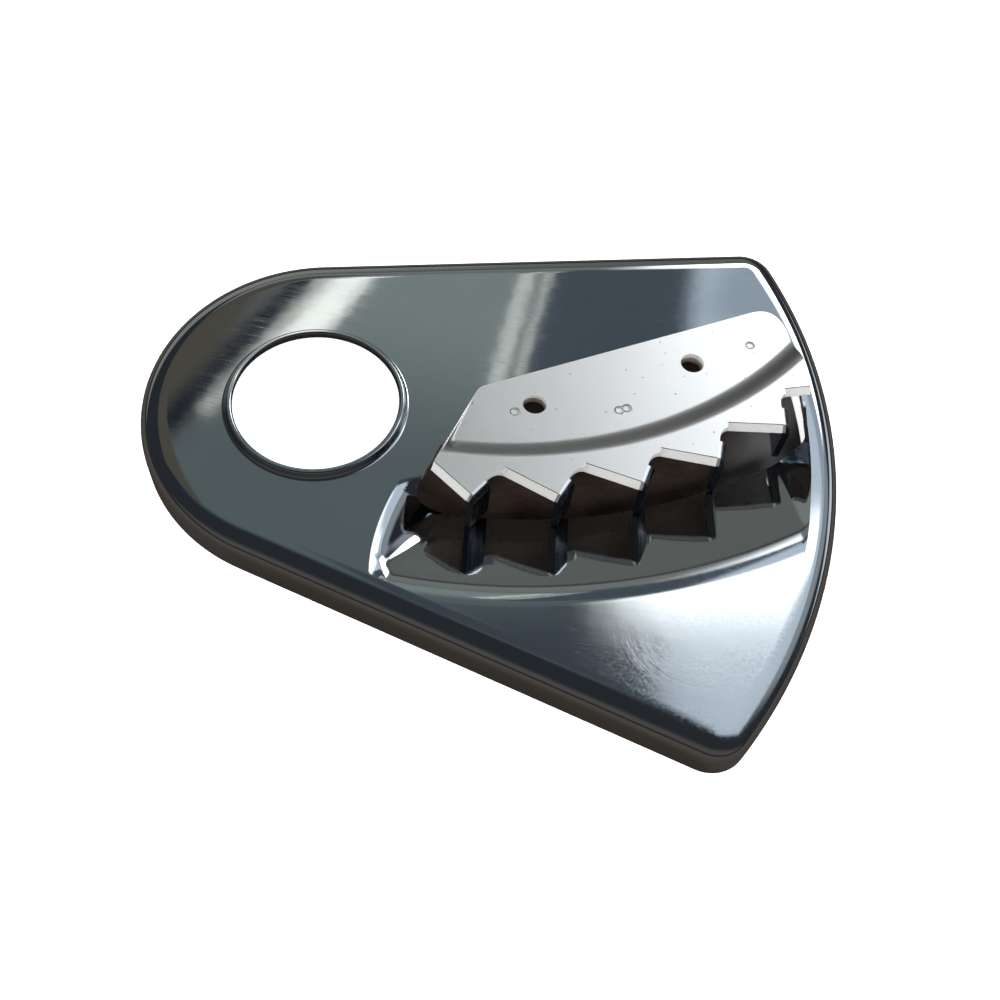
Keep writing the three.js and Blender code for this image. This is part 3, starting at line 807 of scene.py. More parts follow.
SHEARED_COLOUR = (0.80, 0.69, 0.63, 1.0)
SHEARED_SHADE = (0.58, 0.49, 0.44, 1.0)


def sheared_steel():
    """Bare metal of a punched edge, with upright shear lines."""
    material, nodes, surface = new_material("sheared_steel")
    lines = nodes.noise(nodes.spread((6.0, 6.0, 0.7)), 1.0, 3.0, 0.6)
    nodes.set(surface.inputs["Base Color"], nodes.blend(lines, SHEARED_SHADE, SHEARED_COLOUR))
    surface.inputs["Metallic"].default_value = 0.6
    nodes.set(surface.inputs["Roughness"], nodes.ramp(lines, 0.3, 0.7, 0.28, 0.42))
    bump = nodes.bump(lines, 0.25, 0.02)
    nodes.set(surface.inputs["Normal"], bump.outputs[0])
    return material


SHEARED = sheared_steel()
plate = cutting_plate_mesh().build("polished_cutting_plate", [polished_steel(), SHEARED])
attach(plate, "root")
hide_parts("cutting_plate")

# ---- Toothed blade --------------------------------------------------------------------------
# A strip of 0.9 mm stainless, blanked and pressed in one hit: its heel lies on the plate, a joggle
# lifts the front over the slot, and each short tooth flank is folded down as a dividing tab. The
# long flanks are then ground to a bevel. The faces keep the mill's satin finish.

TOOTH_PITCH = math.radians(9.65)
FIRST_TIP = math.radians(6.1)
SHORT_FLANK_DEPTH = 2.6
SHORT_FLANK_SHARE = 0.2
GULLET_SHARE = 0.43
GULLET_DEPTH = 0.4
INNER_END_LENGTH = 14.65
HEEL_SLOPE = math.radians(30.4)
HEEL_CORNER = 3.2
HEEL_CORNER_HALF_ANGLE = math.radians(40)
HEEL_BLUNTING = 0.8  # reach of the small inner corner's rounding
JOGGLE_STEPS = 14
BLADE_MESH_ARC = math.radians(62)
BLADE_MESH_STEP = math.radians(0.8)
WELD_RINGS = (0.95, 1.25, 1.7, 2.3)  # rings of points round each weld
BEVEL_WIDTH = 0.75
BEVEL_STEP = 0.12
BEVEL_LAND = 0.12
STEP_RUN = 0.04  # how steeply the shoulder behind the bevel drops
BEVEL_RUN_OUT = 0.15  # where the wheel leaves the blade at a gullet
RUN_OUT_START = 0.2
BEVEL_OVERRUN = 5.0  # how far the wheel runs past the blade's inner end, and past a tip
TIP_OVERRUN = 1.0
TAB_BEND_INSIDE = 0.1
TAB_RAMP_GAP = 0.2
tab_bend = TAB_BEND_INSIDE + BLADE_SHEET
front_top = BLADE_SEAT + BLADE_SHEET + JOGGLE_RISE
front_bottom = front_top - BLADE_SHEET
bevel_edge = front_bottom + BEVEL_LAND
bevel_shoulder = front_top - BEVEL_STEP
tooth_count = math.ceil((slot_outer_angle - FIRST_TIP) / TOOTH_PITCH)


class Flank:
    """Long flank of a tooth: a straight cutting edge with a ground bevel behind it."""

    def __init__(self, start, end):
        self.start = start
        self.end = end
        self.run = (end - start).normalized()
        self.inward = Vector((-self.run.y, self.run.x))

    def along(self, point):
        return (point - self.start).dot(self.run)

    def depth(self, point):
        return (point - self.start).dot(self.inward)

    def meet(self, depth, origin, direction):
        """Where the line at this depth behind the edge crosses another line."""
        rate = direction.dot(self.inward)
        return origin + direction * ((depth - self.depth(origin)) / rate)

    def bevel_height(self, depth):
        return bevel_edge + (bevel_shoulder - bevel_edge) * max(0.0, depth) / BEVEL_WIDTH


def joggle_share(radius):
    return min(1.0, max(0.0, (radius - JOGGLE_RADIUS) / JOGGLE_WIDTH))


def heel_height(radius):
    share = joggle_share(radius)
    return BLADE_SEAT + BLADE_SHEET + JOGGLE_RISE * share * share * (3 - 2 * share)


def heel_normal(point):
    radius, angle = blade_polar(point)
    share = joggle_share(radius)
    slope = JOGGLE_RISE * 6 * share * (1 - share) / JOGGLE_WIDTH
    return Vector((-slope * math.sin(angle), slope * math.cos(angle), 1.0)).normalized()


class Tooth:
    """Tip, short flank with its folded tab, gullet, and the long flank that follows it."""

    def __init__(self, angle):
        self.tip = blade_point(TIP_RADIUS, angle)
        short_angle = angle + SHORT_FLANK_SHARE * TOOTH_PITCH
        self.short_end = blade_point(TIP_RADIUS - SHORT_FLANK_DEPTH, short_angle)
        middle = angle + (SHORT_FLANK_SHARE + GULLET_SHARE) / 2 * TOOTH_PITCH
        deepest = blade_point(ROOT_RADIUS - GULLET_DEPTH, middle)
        long_start = blade_point(ROOT_RADIUS, angle + GULLET_SHARE * TOOTH_PITCH)
        self.gullet = curve_points(self.short_end, deepest, long_start, 10)
        self.flank = Flank(long_start, blade_point(TIP_RADIUS, angle + TOOTH_PITCH))
        self.fold = (self.short_end - self.tip).normalized()
        self.right = Vector((self.fold.y, -self.fold.x))

    def fold_stations(self, before):
        """Places along the fold, close together where the bevel of the flank before runs over it."""
        shoulder = BEVEL_WIDTH / self.fold.dot(before.inward)
        step = (BEVEL_WIDTH + STEP_RUN) / self.fold.dot(before.inward)
        length = (self.short_end - self.tip).length
        ground = [shoulder * i / 6 for i in range(7)]
        return ground + [step, (step + length) / 2, length]


def folded_tab(shell, tooth, before, stations):
    """Sheet folded down from the short flank, with the bevel ground across its front corner."""
    share = (RAMP_LENGTH - SLOT_SETBACK - tab_bend / 2) / RAMP_LENGTH
    tab_bottom = TAB_RAMP_GAP - RAMP_DEPTH * share * (1 + RAMP_BOW - RAMP_BOW * share)
    bend_steps = 8
    section = []
    for i in range(bend_steps + 1):
        turn = i / bend_steps * math.pi / 2
        across, rise = math.sin(turn), math.cos(turn)
        section.append((tab_bend * across, front_top - tab_bend * (1 - rise), (across, rise)))
    section += [
        (tab_bend, tab_bottom + EDGE_BREAK, (1.0, 0.0)),
        (tab_bend - EDGE_BREAK, tab_bottom, (0.0, -1.0)),
        (TAB_BEND_INSIDE + EDGE_BREAK, tab_bottom, (0.0, -1.0)),
        (TAB_BEND_INSIDE, tab_bottom + EDGE_BREAK, (-1.0, 0.0)),
        (TAB_BEND_INSIDE, front_bottom - TAB_BEND_INSIDE, (-1.0, 0.0)),
        (0.0, front_bottom, (0.0, -1.0)),
    ]
    rows = []
    for station in stations:
        row, normals = [], []
        for across, height, (side, rise) in section:
            point = tooth.tip + tooth.fold * station + tooth.right * across
            behind = before.depth(point)
            ground = before.bevel_height(behind) if behind < BEVEL_WIDTH + STEP_RUN / 2 else front_top
            cut = height > ground and height > front_bottom
            row.append(place(point, ground if cut else height))
            level = tooth.right * side
            slope = before.inward * -(bevel_shoulder - bevel_edge) / BEVEL_WIDTH
            worn = Vector((slope.x, slope.y, 1.0)).normalized()
            normals.append(worn if cut else Vector((level.x, level.y, rise)))
        rows.append((shell.add(row), normals))
    for (near, near_n), (far, far_n) in zip(rows, rows[1:]):
        shell.band(near[:3], far[:3], near_n[:3], far_n[:3], closed=False)
        # Zone 2 carries the painted shade of the tabs' upright walls.
        shell.band(near[2:], far[2:], near_n[2:], far_n[2:], 2, closed=False)
    front = Vector((-tooth.fold.x, -tooth.fold.y, 0.0))
    shell.face(rows[0][0][::-1], [front] * len(section), 2)
    shell.face(rows[-1][0], [-front] * len(section), 2)


def toothed_blade_mesh():
    shell = Shell()
    teeth = [Tooth(FIRST_TIP + i * TOOTH_PITCH) for i in range(tooth_count)]
    first = Flank(inner_end_at(ROOT_RADIUS), teeth[0].tip)
    flanks = [first] + [tooth.flank for tooth in teeth]
    end_run = Vector((math.sin(INNER_END_SLOPE), math.cos(INNER_END_SLOPE)))
    heel_inner = first.start + end_run * INNER_END_LENGTH
    heel_side = Vector((math.cos(HEEL_SLOPE), math.sin(HEEL_SLOPE)))
    heel_outer = on_line(heel_inner, heel_side, outer_centre, blade_end_radius)

    # outline as open chains: each is one sheared or ground side, and the folds lie between them
    chains = []
    lines = []
    for number, flank in enumerate(flanks):
        shoulders = []
        for depth in (BEVEL_WIDTH, BEVEL_WIDTH + STEP_RUN):
            if number == 0:
                begin = flank.meet(depth, flank.start, end_run)
            else:
                begin = flank.start + flank.inward * depth
            if number < len(teeth):
                end = flank.meet(depth, teeth[number].tip, teeth[number].fold)
            else:
                end = on_line(begin, flank.run, outer_centre, blade_end_radius)
            shoulders.append((begin, end))
            lines.append([begin, end])
        if number > 0:
            out = flank.start - flank.run * BEVEL_RUN_OUT
            lines.append([flank.start + flank.inward * SAME_POINT, shoulders[0][0], shoulders[1][0]])
            run_out = [out + flank.inward * depth for depth in (RUN_OUT_START, BEVEL_WIDTH + STEP_RUN)]
            lines.append(run_out)
            chains.append((teeth[number - 1].gullet, "side"))
        if number < len(teeth):
            chains.append(([flank.start, teeth[number].tip], "side"))
            stations = teeth[number].fold_stations(flank)
            fold = [teeth[number].tip + teeth[number].fold * station for station in stations]
            chains.append((fold, "fold"))
            folded_tab(shell, teeth[number], flank, stations)
        else:
            last = on_line(flank.start, flank.run, outer_centre, blade_end_radius)
            chains.append(([flank.start, last], "side"))
            end_arc = arc_between(outer_centre, shoulders[1][1], heel_outer)
            corner_reach = HEEL_CORNER / math.tan(HEEL_CORNER_HALF_ANGLE)
            kept = [p for p in end_arc if (p - heel_outer).length > corner_reach]
            heel_run = (heel_inner - heel_outer).normalized()
            corner = curve_points(kept[-1], heel_outer, heel_outer + heel_run * corner_reach, 12)
            chains.append(([last, shoulders[0][1]] + kept[:-1] + corner, "side"))
    before, after = heel_inner - heel_run * HEEL_BLUNTING, heel_inner - end_run * HEEL_BLUNTING
    blunt = curve_points(before, heel_inner, after, 6)
    chains.append(([chains[-1][0][-1]] + blunt, "side"))
    starts = [first.meet(depth, first.start, end_run) for depth in (BEVEL_WIDTH + STEP_RUN, BEVEL_WIDTH)]
    chains.append(([blunt[-1]] + starts + [first.start], "side"))

    outline = [point for line, _ in chains for point in line[:-1]]
    holes = [circle(centre, HOLE_RADIUS, HOLE_STEPS) for centre in locating_holes]
    seats = weld_seats()
    extra = []
    for i in range(-1, JOGGLE_STEPS + 2):
        radius = JOGGLE_RADIUS + JOGGLE_WIDTH * i / JOGGLE_STEPS
        angle = 0.0
        while angle < BLADE_MESH_ARC:
            extra.append(blade_point(radius, angle))
            angle += BLADE_MESH_STEP
    for strikes in weld_strikes.values():
        for reach in WELD_RINGS:
            extra += weld_outline(strikes, reach, SEAT_STEPS)
    extra = [p for p in extra if inside(p, outline) and not any(inside(p, hole) for hole in holes + seats)]
    plan, triangles, loops = fill(outline, holes + seats, extra, lines)

    def ground_by(point):
        for flank in flanks:
            begins = -BEVEL_OVERRUN if flank is first else -BEVEL_RUN_OUT / 2
            ends = (flank.end - flank.start).length + TIP_OVERRUN
            ground = -SAME_POINT < flank.depth(point) < BEVEL_WIDTH + STEP_RUN / 2
            if begins < flank.along(point) < ends and ground:
                return flank
        return None

    def top_height(point):
        flank = ground_by(point)
        if flank is None:
            return heel_height(blade_polar(point)[0])
        return flank.bevel_height(flank.depth(point))

    upper = shell.add([place(p, top_height(p)) for p in plan])
    lower = shell.add([place(p, heel_height(blade_polar(p)[0]) - BLADE_SHEET) for p in plan])
    smooth = [heel_normal(p) for p in plan]
    ground = [ground_by(p) is not None for p in plan]
    shoulder = BEVEL_WIDTH + STEP_RUN
    for face in triangles:
        a, b, c = (shell.points[upper[i]] for i in face)
        flat = (b - a).cross(c - a).normalized()
        worked = any(ground[i] for i in face)
        middle = sum((plan[i] for i in face), Vector((0.0, 0.0))) / 3
        # The step behind a bevel takes the painted shade of zone 3.
        stepped = worked and any(shoulder > flank.depth(middle) > BEVEL_WIDTH for flank in flanks)
        zone = 3 if stepped else int(worked)
        shell.face([upper[i] for i in face], [flat if worked else smooth[i] for i in face], zone)
        shell.face([lower[i] for i in reversed(face)], [-smooth[i] for i in reversed(face)])

    for hole, loop in zip(holes + seats, loops[1:]):
        back = loop[::-1]
        sheared_wall(
            shell, hole[::-1], [upper[i] for i in back], [lower[i] for i in back],
            [smooth[i] for i in back], [-smooth[i] for i in back],
        )
    rim = loops[0] + loops[0][:1]
    at = 0
    for line, kind in chains:
        part = rim[at:at + len(line)]
        at += len(line) - 1
        if kind == "side":
            sheared_wall(
                shell, line, [upper[i] for i in part], [lower[i] for i in part],
                [smooth[i] for i in part], [-smooth[i] for i in part], closed=False,
            )
    # Painted reflection: this mask peaks in the middle of the joggle, where the satin colour is painted
    # dark as the bend's reflection.
    bent = [0.0] * len(shell.points)
    for index, point in zip(upper, plan):
        share = joggle_share(blade_polar(point)[0])
        bent[index] = 4 * share * (1 - share)
    return shell, {"bend": bent}


def pits():
    """Small dark pits and pale specks, scattered over a satin face."""
    nodes, given, out = new_group(
        "pits",
        [("Spacing", 1.1), ("Size", 0.1)],
        [("Pits", "NodeSocketFloat"), ("Specks", "NodeSocketFloat")],
    )
    where = nodes.where()
    for label, shift in (("Pits", 0.0), ("Specks", 31.0)):
        away = {0: where, 1: (shift, shift, 0.0)}
        moved = nodes.add("ShaderNodeVectorMath", away, operation="ADD").outputs[0]
        inputs = {"Vector": moved, "Scale": nodes.maths("DIVIDE", 1.0, given["Spacing"]), "Randomness": 1.0}
        cells = nodes.add("ShaderNodeTexVoronoi", inputs).outputs
        uneven = nodes.noise(moved, 0.9, 2.0, 0.6)
        size = nodes.maths("MULTIPLY", given["Size"], nodes.ramp(uneven, 0.42, 0.62))
        nodes.set(out[label], nodes.maths("LESS_THAN", cells["Distance"], size))
    return nodes.tree


PITS = pits()
SATIN_COLOUR = (0.93, 0.925, 0.91, 1.0)
SATIN_SHADE = (0.87, 0.87, 0.855, 1.0)
PIT_COLOUR = (0.30, 0.27, 0.22, 1.0)
SPECK_COLOUR = (0.95, 0.95, 0.93, 1.0)
# Painted reflection: the dark colour of the band painted along the joggle's bend.
BEND_PAINTED_REFLECTION = (0.11, 0.11, 0.11, 1.0)


def satin_steel():
    material, nodes, surface = new_material("satin_steel")
    grain = nodes.group(GRAIN, Line_length=0.5, Line_width=0.16)
    marks = nodes.group(SCRATCHES, Amount=0.4)
    spots = nodes.group(PITS, Spacing=1.2, Size=0.13)
    colour = nodes.blend(grain["Drift"], SATIN_SHADE, SATIN_COLOUR)
    colour = nodes.blend(nodes.maths("MULTIPLY", spots["Specks"], 0.6), colour, SPECK_COLOUR)
    colour = nodes.blend(nodes.maths("MULTIPLY", spots["Pits"], 0.7), colour, PIT_COLOUR)
    # Painted reflection: the joggle's middle is painted dark, the reflection its curved bend would show.
    bend = nodes.add("ShaderNodeAttribute", attribute_name="bend").outputs["Fac"]
    colour = nodes.blend(nodes.maths("MULTIPLY", bend, 0.85), colour, BEND_PAINTED_REFLECTION)
    nodes.set(surface.inputs["Base Color"], colour)
    surface.inputs["Metallic"].default_value = 0.9
    rough = nodes.ramp(grain["Lines"], 0.3, 0.7, 0.29, 0.37)
    shine = nodes.maths("MULTIPLY", marks["Scratches"], 0.08)
    nodes.set(surface.inputs["Roughness"], nodes.maths("SUBTRACT", rough, shine))
    height = nodes.maths("SUBTRACT", grain["Lines"], spots["Pits"])
    bump = nodes.bump(height, 0.1, 0.02)
    nodes.set(surface.inputs["Normal"], bump.outputs[0])
    return material


GROUND_COLOUR = (0.86, 0.855, 0.84, 1.0)
GROUND_SHADE = (0.70, 0.68, 0.65, 1.0)
GROUND_PAINTED_REFLECTION = (0.10, 0.10, 0.11, 1.0)  # painted reflection: the bevels' darker colour, only where steel mirrors them


def ground_steel():
    """Bevels, with the wheel's short marks across the edge, and a painted reflection: dark where steel
    mirrors them.
    """
    material, nodes, surface = new_material("ground_steel")
    marks = nodes.noise(nodes.spread((9.0, 4.0, 1.0), turn=0.25), 1.0, 3.0, 0.65)
    colour = nodes.blend(nodes.ramp(marks, 0.25, 0.5), GROUND_SHADE, GROUND_COLOUR)
    # Painted reflection: glossy rays see the bevels dark, the camera sees them pale.
    mirrored = nodes.add("ShaderNodeLightPath").outputs["Is Glossy Ray"]
    nodes.set(surface.inputs["Base Color"], nodes.blend(mirrored, colour, GROUND_PAINTED_REFLECTION))
    surface.inputs["Metallic"].default_value = 0.45
    nodes.set(surface.inputs["Roughness"], nodes.ramp(marks, 0.3, 0.7, 0.42, 0.3))
    bump = nodes.bump(marks, 0.2, 0.03)
    nodes.set(surface.inputs["Normal"], bump.outputs[0])
    return material


# Painted shade: the colours painted on the tabs' upright walls.
TAB_PAINTED_SHADE = (0.20, 0.225, 0.26, 1.0)
TAB_PAINTED_DEEP_SHADE = (0.10, 0.11, 0.13, 1.0)


def shaded_tab_steel():
    """Folded tabs, smooth, with painted shade: a dark mottled colour stands in for the shade on their
    upright walls.
    """
    material, nodes, surface = new_material("shaded_tab_steel")
    tab_mottle = nodes.noise(nodes.spread((1.2, 1.2, 0.3)), 1.0, 4.0, 0.6)
    colour = nodes.blend(nodes.ramp(tab_mottle, 0.35, 0.7), TAB_PAINTED_DEEP_SHADE, TAB_PAINTED_SHADE)
    nodes.set(surface.inputs["Base Color"], colour)
    surface.inputs["Metallic"].default_value = 1.0
    nodes.set(surface.inputs["Roughness"], nodes.ramp(tab_mottle, 0.3, 0.7, 0.16, 0.3))
    bump = nodes.bump(tab_mottle, 0.15, 0.03)
    nodes.set(surface.inputs["Normal"], bump.outputs[0])
    return material


# Painted shade: the colours painted in the step behind each bevel.
STEP_PAINTED_SHADE = (0.15, 0.11, 0.08, 1.0)
STEP_PAINTED_DEEP_SHADE = (0.06, 0.045, 0.035, 1.0)


def shaded_step():
    """Painted shade: a dark brown line in the shallow step behind a bevel."""
    material, nodes, surface = new_material("shaded_step")
    patches = nodes.noise(nodes.spread((1.5, 1.5, 1.5)), 1.0, 3.0, 0.6)
    nodes.set(surface.inputs["Base Color"], nodes.blend(patches, STEP_PAINTED_DEEP_SHADE, STEP_PAINTED_SHADE))
    surface.inputs["Metallic"].default_value = 0.4
    nodes.set(surface.inputs["Roughness"], nodes.ramp(patches, 0.3, 0.7, 0.45, 0.7))
    return material


BLADE_FINISHES = [satin_steel(), ground_steel(), shaded_tab_steel(), shaded_step()]
blade_shell, blade_masks = toothed_blade_mesh()
blade = blade_shell.build("toothed_strip_blade", BLADE_FINISHES, blade_masks)
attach(blade, "root")
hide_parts("toothed_blade")

# ---- Spot welds -----------------------------------------------------------------------------
# Three resistance welds hold the blade: one strike near each end and a double strike between
# them. Each leaves a shallow dished nugget with a raised ring, tinted by the heat.

WELD_FACE = BLADE_SEAT + BLADE_SHEET - 0.04
WELD_DISH = 0.06
WELD_RING = 0.47  # radius of the raised ring
WELD_RING_WIDTH = 0.13
WELD_STEPS = 28  # points round one strike
WELD_FACE_RINGS = 14
WELD_COLOUR = (0.91, 0.905, 0.89, 1.0)


def weld_steel(name, tint):
    material, nodes, surface = new_material(name)
    ring = nodes.add("ShaderNodeAttribute", attribute_name="heat").outputs["Fac"]
    mottle = nodes.noise(nodes.spread((2.5, 2.5, 2.5)), 1.0, 3.0, 0.6)
    share = nodes.maths("MULTIPLY", ring, nodes.ramp(mottle, 0.25, 0.6, 0.45, 1.0))
    nodes.set(surface.inputs["Base Color"], nodes.blend(share, WELD_COLOUR, tint))
    surface.inputs["Metallic"].default_value = 0.9
    nodes.set(surface.inputs["Roughness"], nodes.ramp(mottle, 0.3, 0.7, 0.34, 0.46))
    bump = nodes.bump(mottle, 0.3, 0.03)
    nodes.set(surface.inputs["Normal"], bump.outputs[0])
    return material


def weld_nugget(strikes):
    shell = Shell()
    outline = weld_outline(strikes, WELD_RADIUS, WELD_STEPS)
    middle = sum(strikes, Vector((0.0, 0.0))) / len(strikes)
    heat = []

    def face_height(point):
        near = min((point - strike).length for strike in strikes)
        ridge = max(0.0, 1 - abs(near - WELD_RING) / WELD_RING_WIDTH)
        heat.append(ridge)
        return WELD_FACE - WELD_DISH * (1 - ridge * ridge * (3 - 2 * ridge))

    centre = shell.add([place(middle, face_height(middle))])[0]
    rings = []
    for i in range(1, WELD_FACE_RINGS + 1):
        points = [middle.lerp(p, i / WELD_FACE_RINGS) for p in outline]
        rings.append(shell.add([place(p, face_height(p)) for p in points]))
    foot = shell.add([place(p, -WELD_DEPTH) for p in outline])
    heat += [0.0] * len(foot)
    count = len(outline)
    for i in range(count):
        shell.face((centre, rings[0][i], rings[0][(i + 1) % count]), [UP] * 3)
    for inner, outer in zip(rings, rings[1:]):
        for i in range(count):
            j = (i + 1) % count
            corners = (inner[i], outer[i], outer[j], inner[j])
            a, b, c = (shell.points[k] for k in corners[:3])
            tilt = (b - a).cross(c - a).normalized()
            shell.face(corners, [tilt] * 4)
    side = side_normals(outline)
    shell.band(foot, rings[-1], side, side)
    shell.face(foot[::-1], [-UP] * count)
    return shell, heat


WELD_TINTS = {
    "spot_weld_inner": (0.42, 0.43, 0.34, 1.0),
    "spot_weld_middle": (0.82, 0.66, 0.36, 1.0),
    "spot_weld_outer": (0.85, 0.50, 0.16, 1.0),
}
for node, strikes in weld_strikes.items():
    shell, heat = weld_nugget(strikes)
    finish = weld_steel(node + "_steel", WELD_TINTS[node])
    nugget = shell.build(node.replace("spot_weld", "weld_nugget"), [finish], {"heat": heat})
    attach(nugget, "root")
    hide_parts(node)

# ---- Studio ---------------------------------------------------------------------------------
# A pale floor under the skirt, painted dark brown where the steel mirrors it, a dark card under the plate
# as painted shade, and a dim room with soft panels. Polished steel shows what it mirrors, so each panel is
# given by where the plate's flat face mirrors it to the camera.

FLOOR_SIZE = 3.0
FLOOR_COLOUR = (0.93, 0.93, 0.925, 1.0)
FLOOR_GLOW = (0.9, 0.9, 0.9, 1.0)  # the floor's evenness, for the camera only
NO_GLOW = (0.0, 0.0, 0.0, 1.0)
TABLE_PAINTED_REFLECTION = (0.075, 0.060, 0.050, 1.0)  # painted reflection: the floor's dark brown colour, only where steel mirrors it
# Painted shade: a dark card on the floor inside the skirt stands in for the shade under the plate, seen
# through the slot; its outer end is painted pale as light.
CARD_EDGE = 11.0  # the painted shadow card starts beyond the hub hole
CARD_INSET = 3.0
CARD_RISE = 0.1
CARD_PAINTED_SHADE = (0.085, 0.062, 0.052, 1.0)
CARD_PAINTED_DEEP_SHADE = (0.03, 0.022, 0.018, 1.0)
CARD_PAINTED_LIGHT_SPAN = (50.0, 60.0)  # where the card turns pale as painted light, on the plate's drawing
CARD_PAINTED_LIGHT = (0.45, 0.45, 0.46, 1.0)


def floor_paint():
    material, nodes, surface = new_material("pale_floor")
    cloud = nodes.noise(nodes.spread((0.02, 0.02, 0.02)), 1.0, 2.0, 0.5)
    shade = tuple(c * 0.985 for c in FLOOR_COLOUR[:3]) + (1.0,)
    pale = nodes.blend(cloud, shade, FLOOR_COLOUR)
    # Painted reflection: glossy rays see the floor dark brown, while the camera and diffuse rays see it
    # pale.
    mirrored = nodes.add("ShaderNodeLightPath").outputs["Is Glossy Ray"]
    nodes.set(surface.inputs["Base Color"], nodes.blend(mirrored, pale, TABLE_PAINTED_REFLECTION))
    surface.inputs["Roughness"].default_value = 0.9
    seen = nodes.add("ShaderNodeLightPath").outputs["Is Camera Ray"]
    nodes.set(surface.inputs["Emission Color"], nodes.blend(seen, NO_GLOW, FLOOR_GLOW))
    surface.inputs["Emission Strength"].default_value = 1.0
    return material


def shadow_card_paint():
    material, nodes, surface = new_material("shadow_card")
    fibres = nodes.noise(nodes.spread((0.5, 2.0, 1.0)), 1.0, 4.0, 0.6)
    colour = nodes.blend(fibres, CARD_PAINTED_DEEP_SHADE, CARD_PAINTED_SHADE)
    along = nodes.split(nodes.where())[0]
    # Painted light: the card's outer end turns pale.
    lit_end = nodes.ramp(along, *(place((x, 0.0), 0.0).x / MM for x in CARD_PAINTED_LIGHT_SPAN))
    nodes.set(surface.inputs["Base Color"], nodes.blend(lit_end, colour, CARD_PAINTED_LIGHT))
    surface.inputs["Roughness"].default_value = 0.8
    return material


grid = bmesh.new()
bmesh.ops.create_grid(grid, x_segments=8, y_segments=8, size=FLOOR_SIZE / 2)
floor_mesh = bpy.data.meshes.new("floor")
grid.to_mesh(floor_mesh)
grid.free()
floor_mesh.materials.append(floor_paint())
floor = bpy.data.objects.new("floor", floor_mesh)
floor.location.z = cad_box[0][2]
bpy.context.scene.collection.objects.link(floor)

# Painted shade: the dark card lies on the floor under the plate, where there is only shade.
card_line = [Vector((max(p.x, CARD_EDGE), p.y)) for p in rim_ring(plate_rim(), CARD_INSET)]
card_mesh = bpy.data.meshes.new("shadow_card")
card_points = [place(p, CARD_RISE - SKIRT_HEIGHT) for p in card_line]
card_mesh.from_pydata(card_points, [], [list(range(len(card_points)))])
card_mesh.materials.append(shadow_card_paint())
card = bpy.data.objects.new("shadow_card", card_mesh)
bpy.context.scene.collection.objects.link(card)

CAMERA_PLACE = Vector((25.9, -83.8))  # on the plate's drawing
CAMERA_HEIGHT = 120.9  # above the top face
CAMERA_AIM = Vector((23.6, -10.4))
CAMERA_ROLL = math.radians(8.3)
CAMERA_LENS = 41.9

camera_data = bpy.data.cameras.new("camera")
camera_data.lens = CAMERA_LENS
camera_data.clip_start = 0.01
camera = bpy.data.objects.new("camera", camera_data)
eye = place(CAMERA_PLACE, CAMERA_HEIGHT)
forward = (place(CAMERA_AIM, 0.0) - eye).normalized()
level = forward.cross(UP).normalized()
upright = level.cross(forward)
right = level * math.cos(CAMERA_ROLL) + upright * math.sin(CAMERA_ROLL)
turned = Matrix((right, right.cross(forward), -forward)).transposed()
camera.matrix_world = Matrix.Translation(eye) @ turned.to_4x4()
bpy.context.scene.collection.objects.link(camera)
bpy.context.scene.camera = camera

ROOM_COLOUR = (0.03, 0.034, 0.042)

# (name, middle, half size, edge softness along and across, turn in degrees, radiance)
PANELS = [
    ("grey_wall", (-2, -6), (42, 52), (14, 14), 0, (0.135, 0.165, 0.17)),
    ("grey_wall_above", (10, 24), (26, 20), (14, 14), 0, (0.275, 0.315, 0.31)),
    ("far_wall", (-245, 330), (355, 232), (30, 14), 0, (0.16, 0.17, 0.16)),
    ("far_left_wall", (-330, 330), (300, 232), (40, 14), 0, (0.27, 0.29, 0.27)),
    ("brown_wall", (-34, 8), (20, 60), (3, 3), -14, (0.105, 0.095, 0.078)),
    ("navy_gap", (36.5, 24), (12, 26), (1.6, 1.6), -4, (0.085, 0.105, 0.13)),
    ("navy_front", (24, -40), (19, 15), (5, 5), 10, (0.068, 0.08, 0.10)),
    ("side_window", (175, 0), (52, 60), (30, 16), 0, (0.34, 0.37, 0.41)),
    ("right_window", (88, -10), (43, 62), (2.5, 12), 0, (0.72, 0.80, 0.92)),
    ("right_shade", (88, 30), (40, 15), (4, 4), -12, (0.42, 0.49, 0.58)),
    ("glow", (70, -11), (32, 6.0), (6, 6), 12, (2.6, 2.65, 2.7)),
    ("outer_window", (520, 220), (240, 140), (20, 30), 0, (0.80, 0.84, 0.88)),
    ("strip_left", (21.4, 22), (1.0, 16), (0.6, 0.6), -4, (0.75, 0.77, 0.72)),
    ("strip_right", (24.2, 22), (0.55, 14), (0.4, 0.4), -5, (0.62, 0.64, 0.60)),
    ("lamp_left", (-5.0, 16), (4.0, 14), (1.0, 1.0), -20, (1.5, 1.5, 1.42)),
    ("lamp_pale", (-9.4, 11), (1.9, 17), (0.9, 0.9), -22, (0.72, 0.70, 0.65)),
    ("lamp_edge", (-13.0, 6), (1.6, 16), (1.2, 1.2), -22, (0.018, 0.022, 0.035)),
    ("back_window", (-10, 66), (46, 20), (7, 7), 0, (0.24, 0.24, 0.23)),
    ("back_window_right", (88, 64), (44, 20), (16, 9), 0, (8.0, 8.2, 8.3)),
    ("front_window", (40, -430), (520, 200), (60, 60), 0, (0.11, 0.098, 0.088)),
]


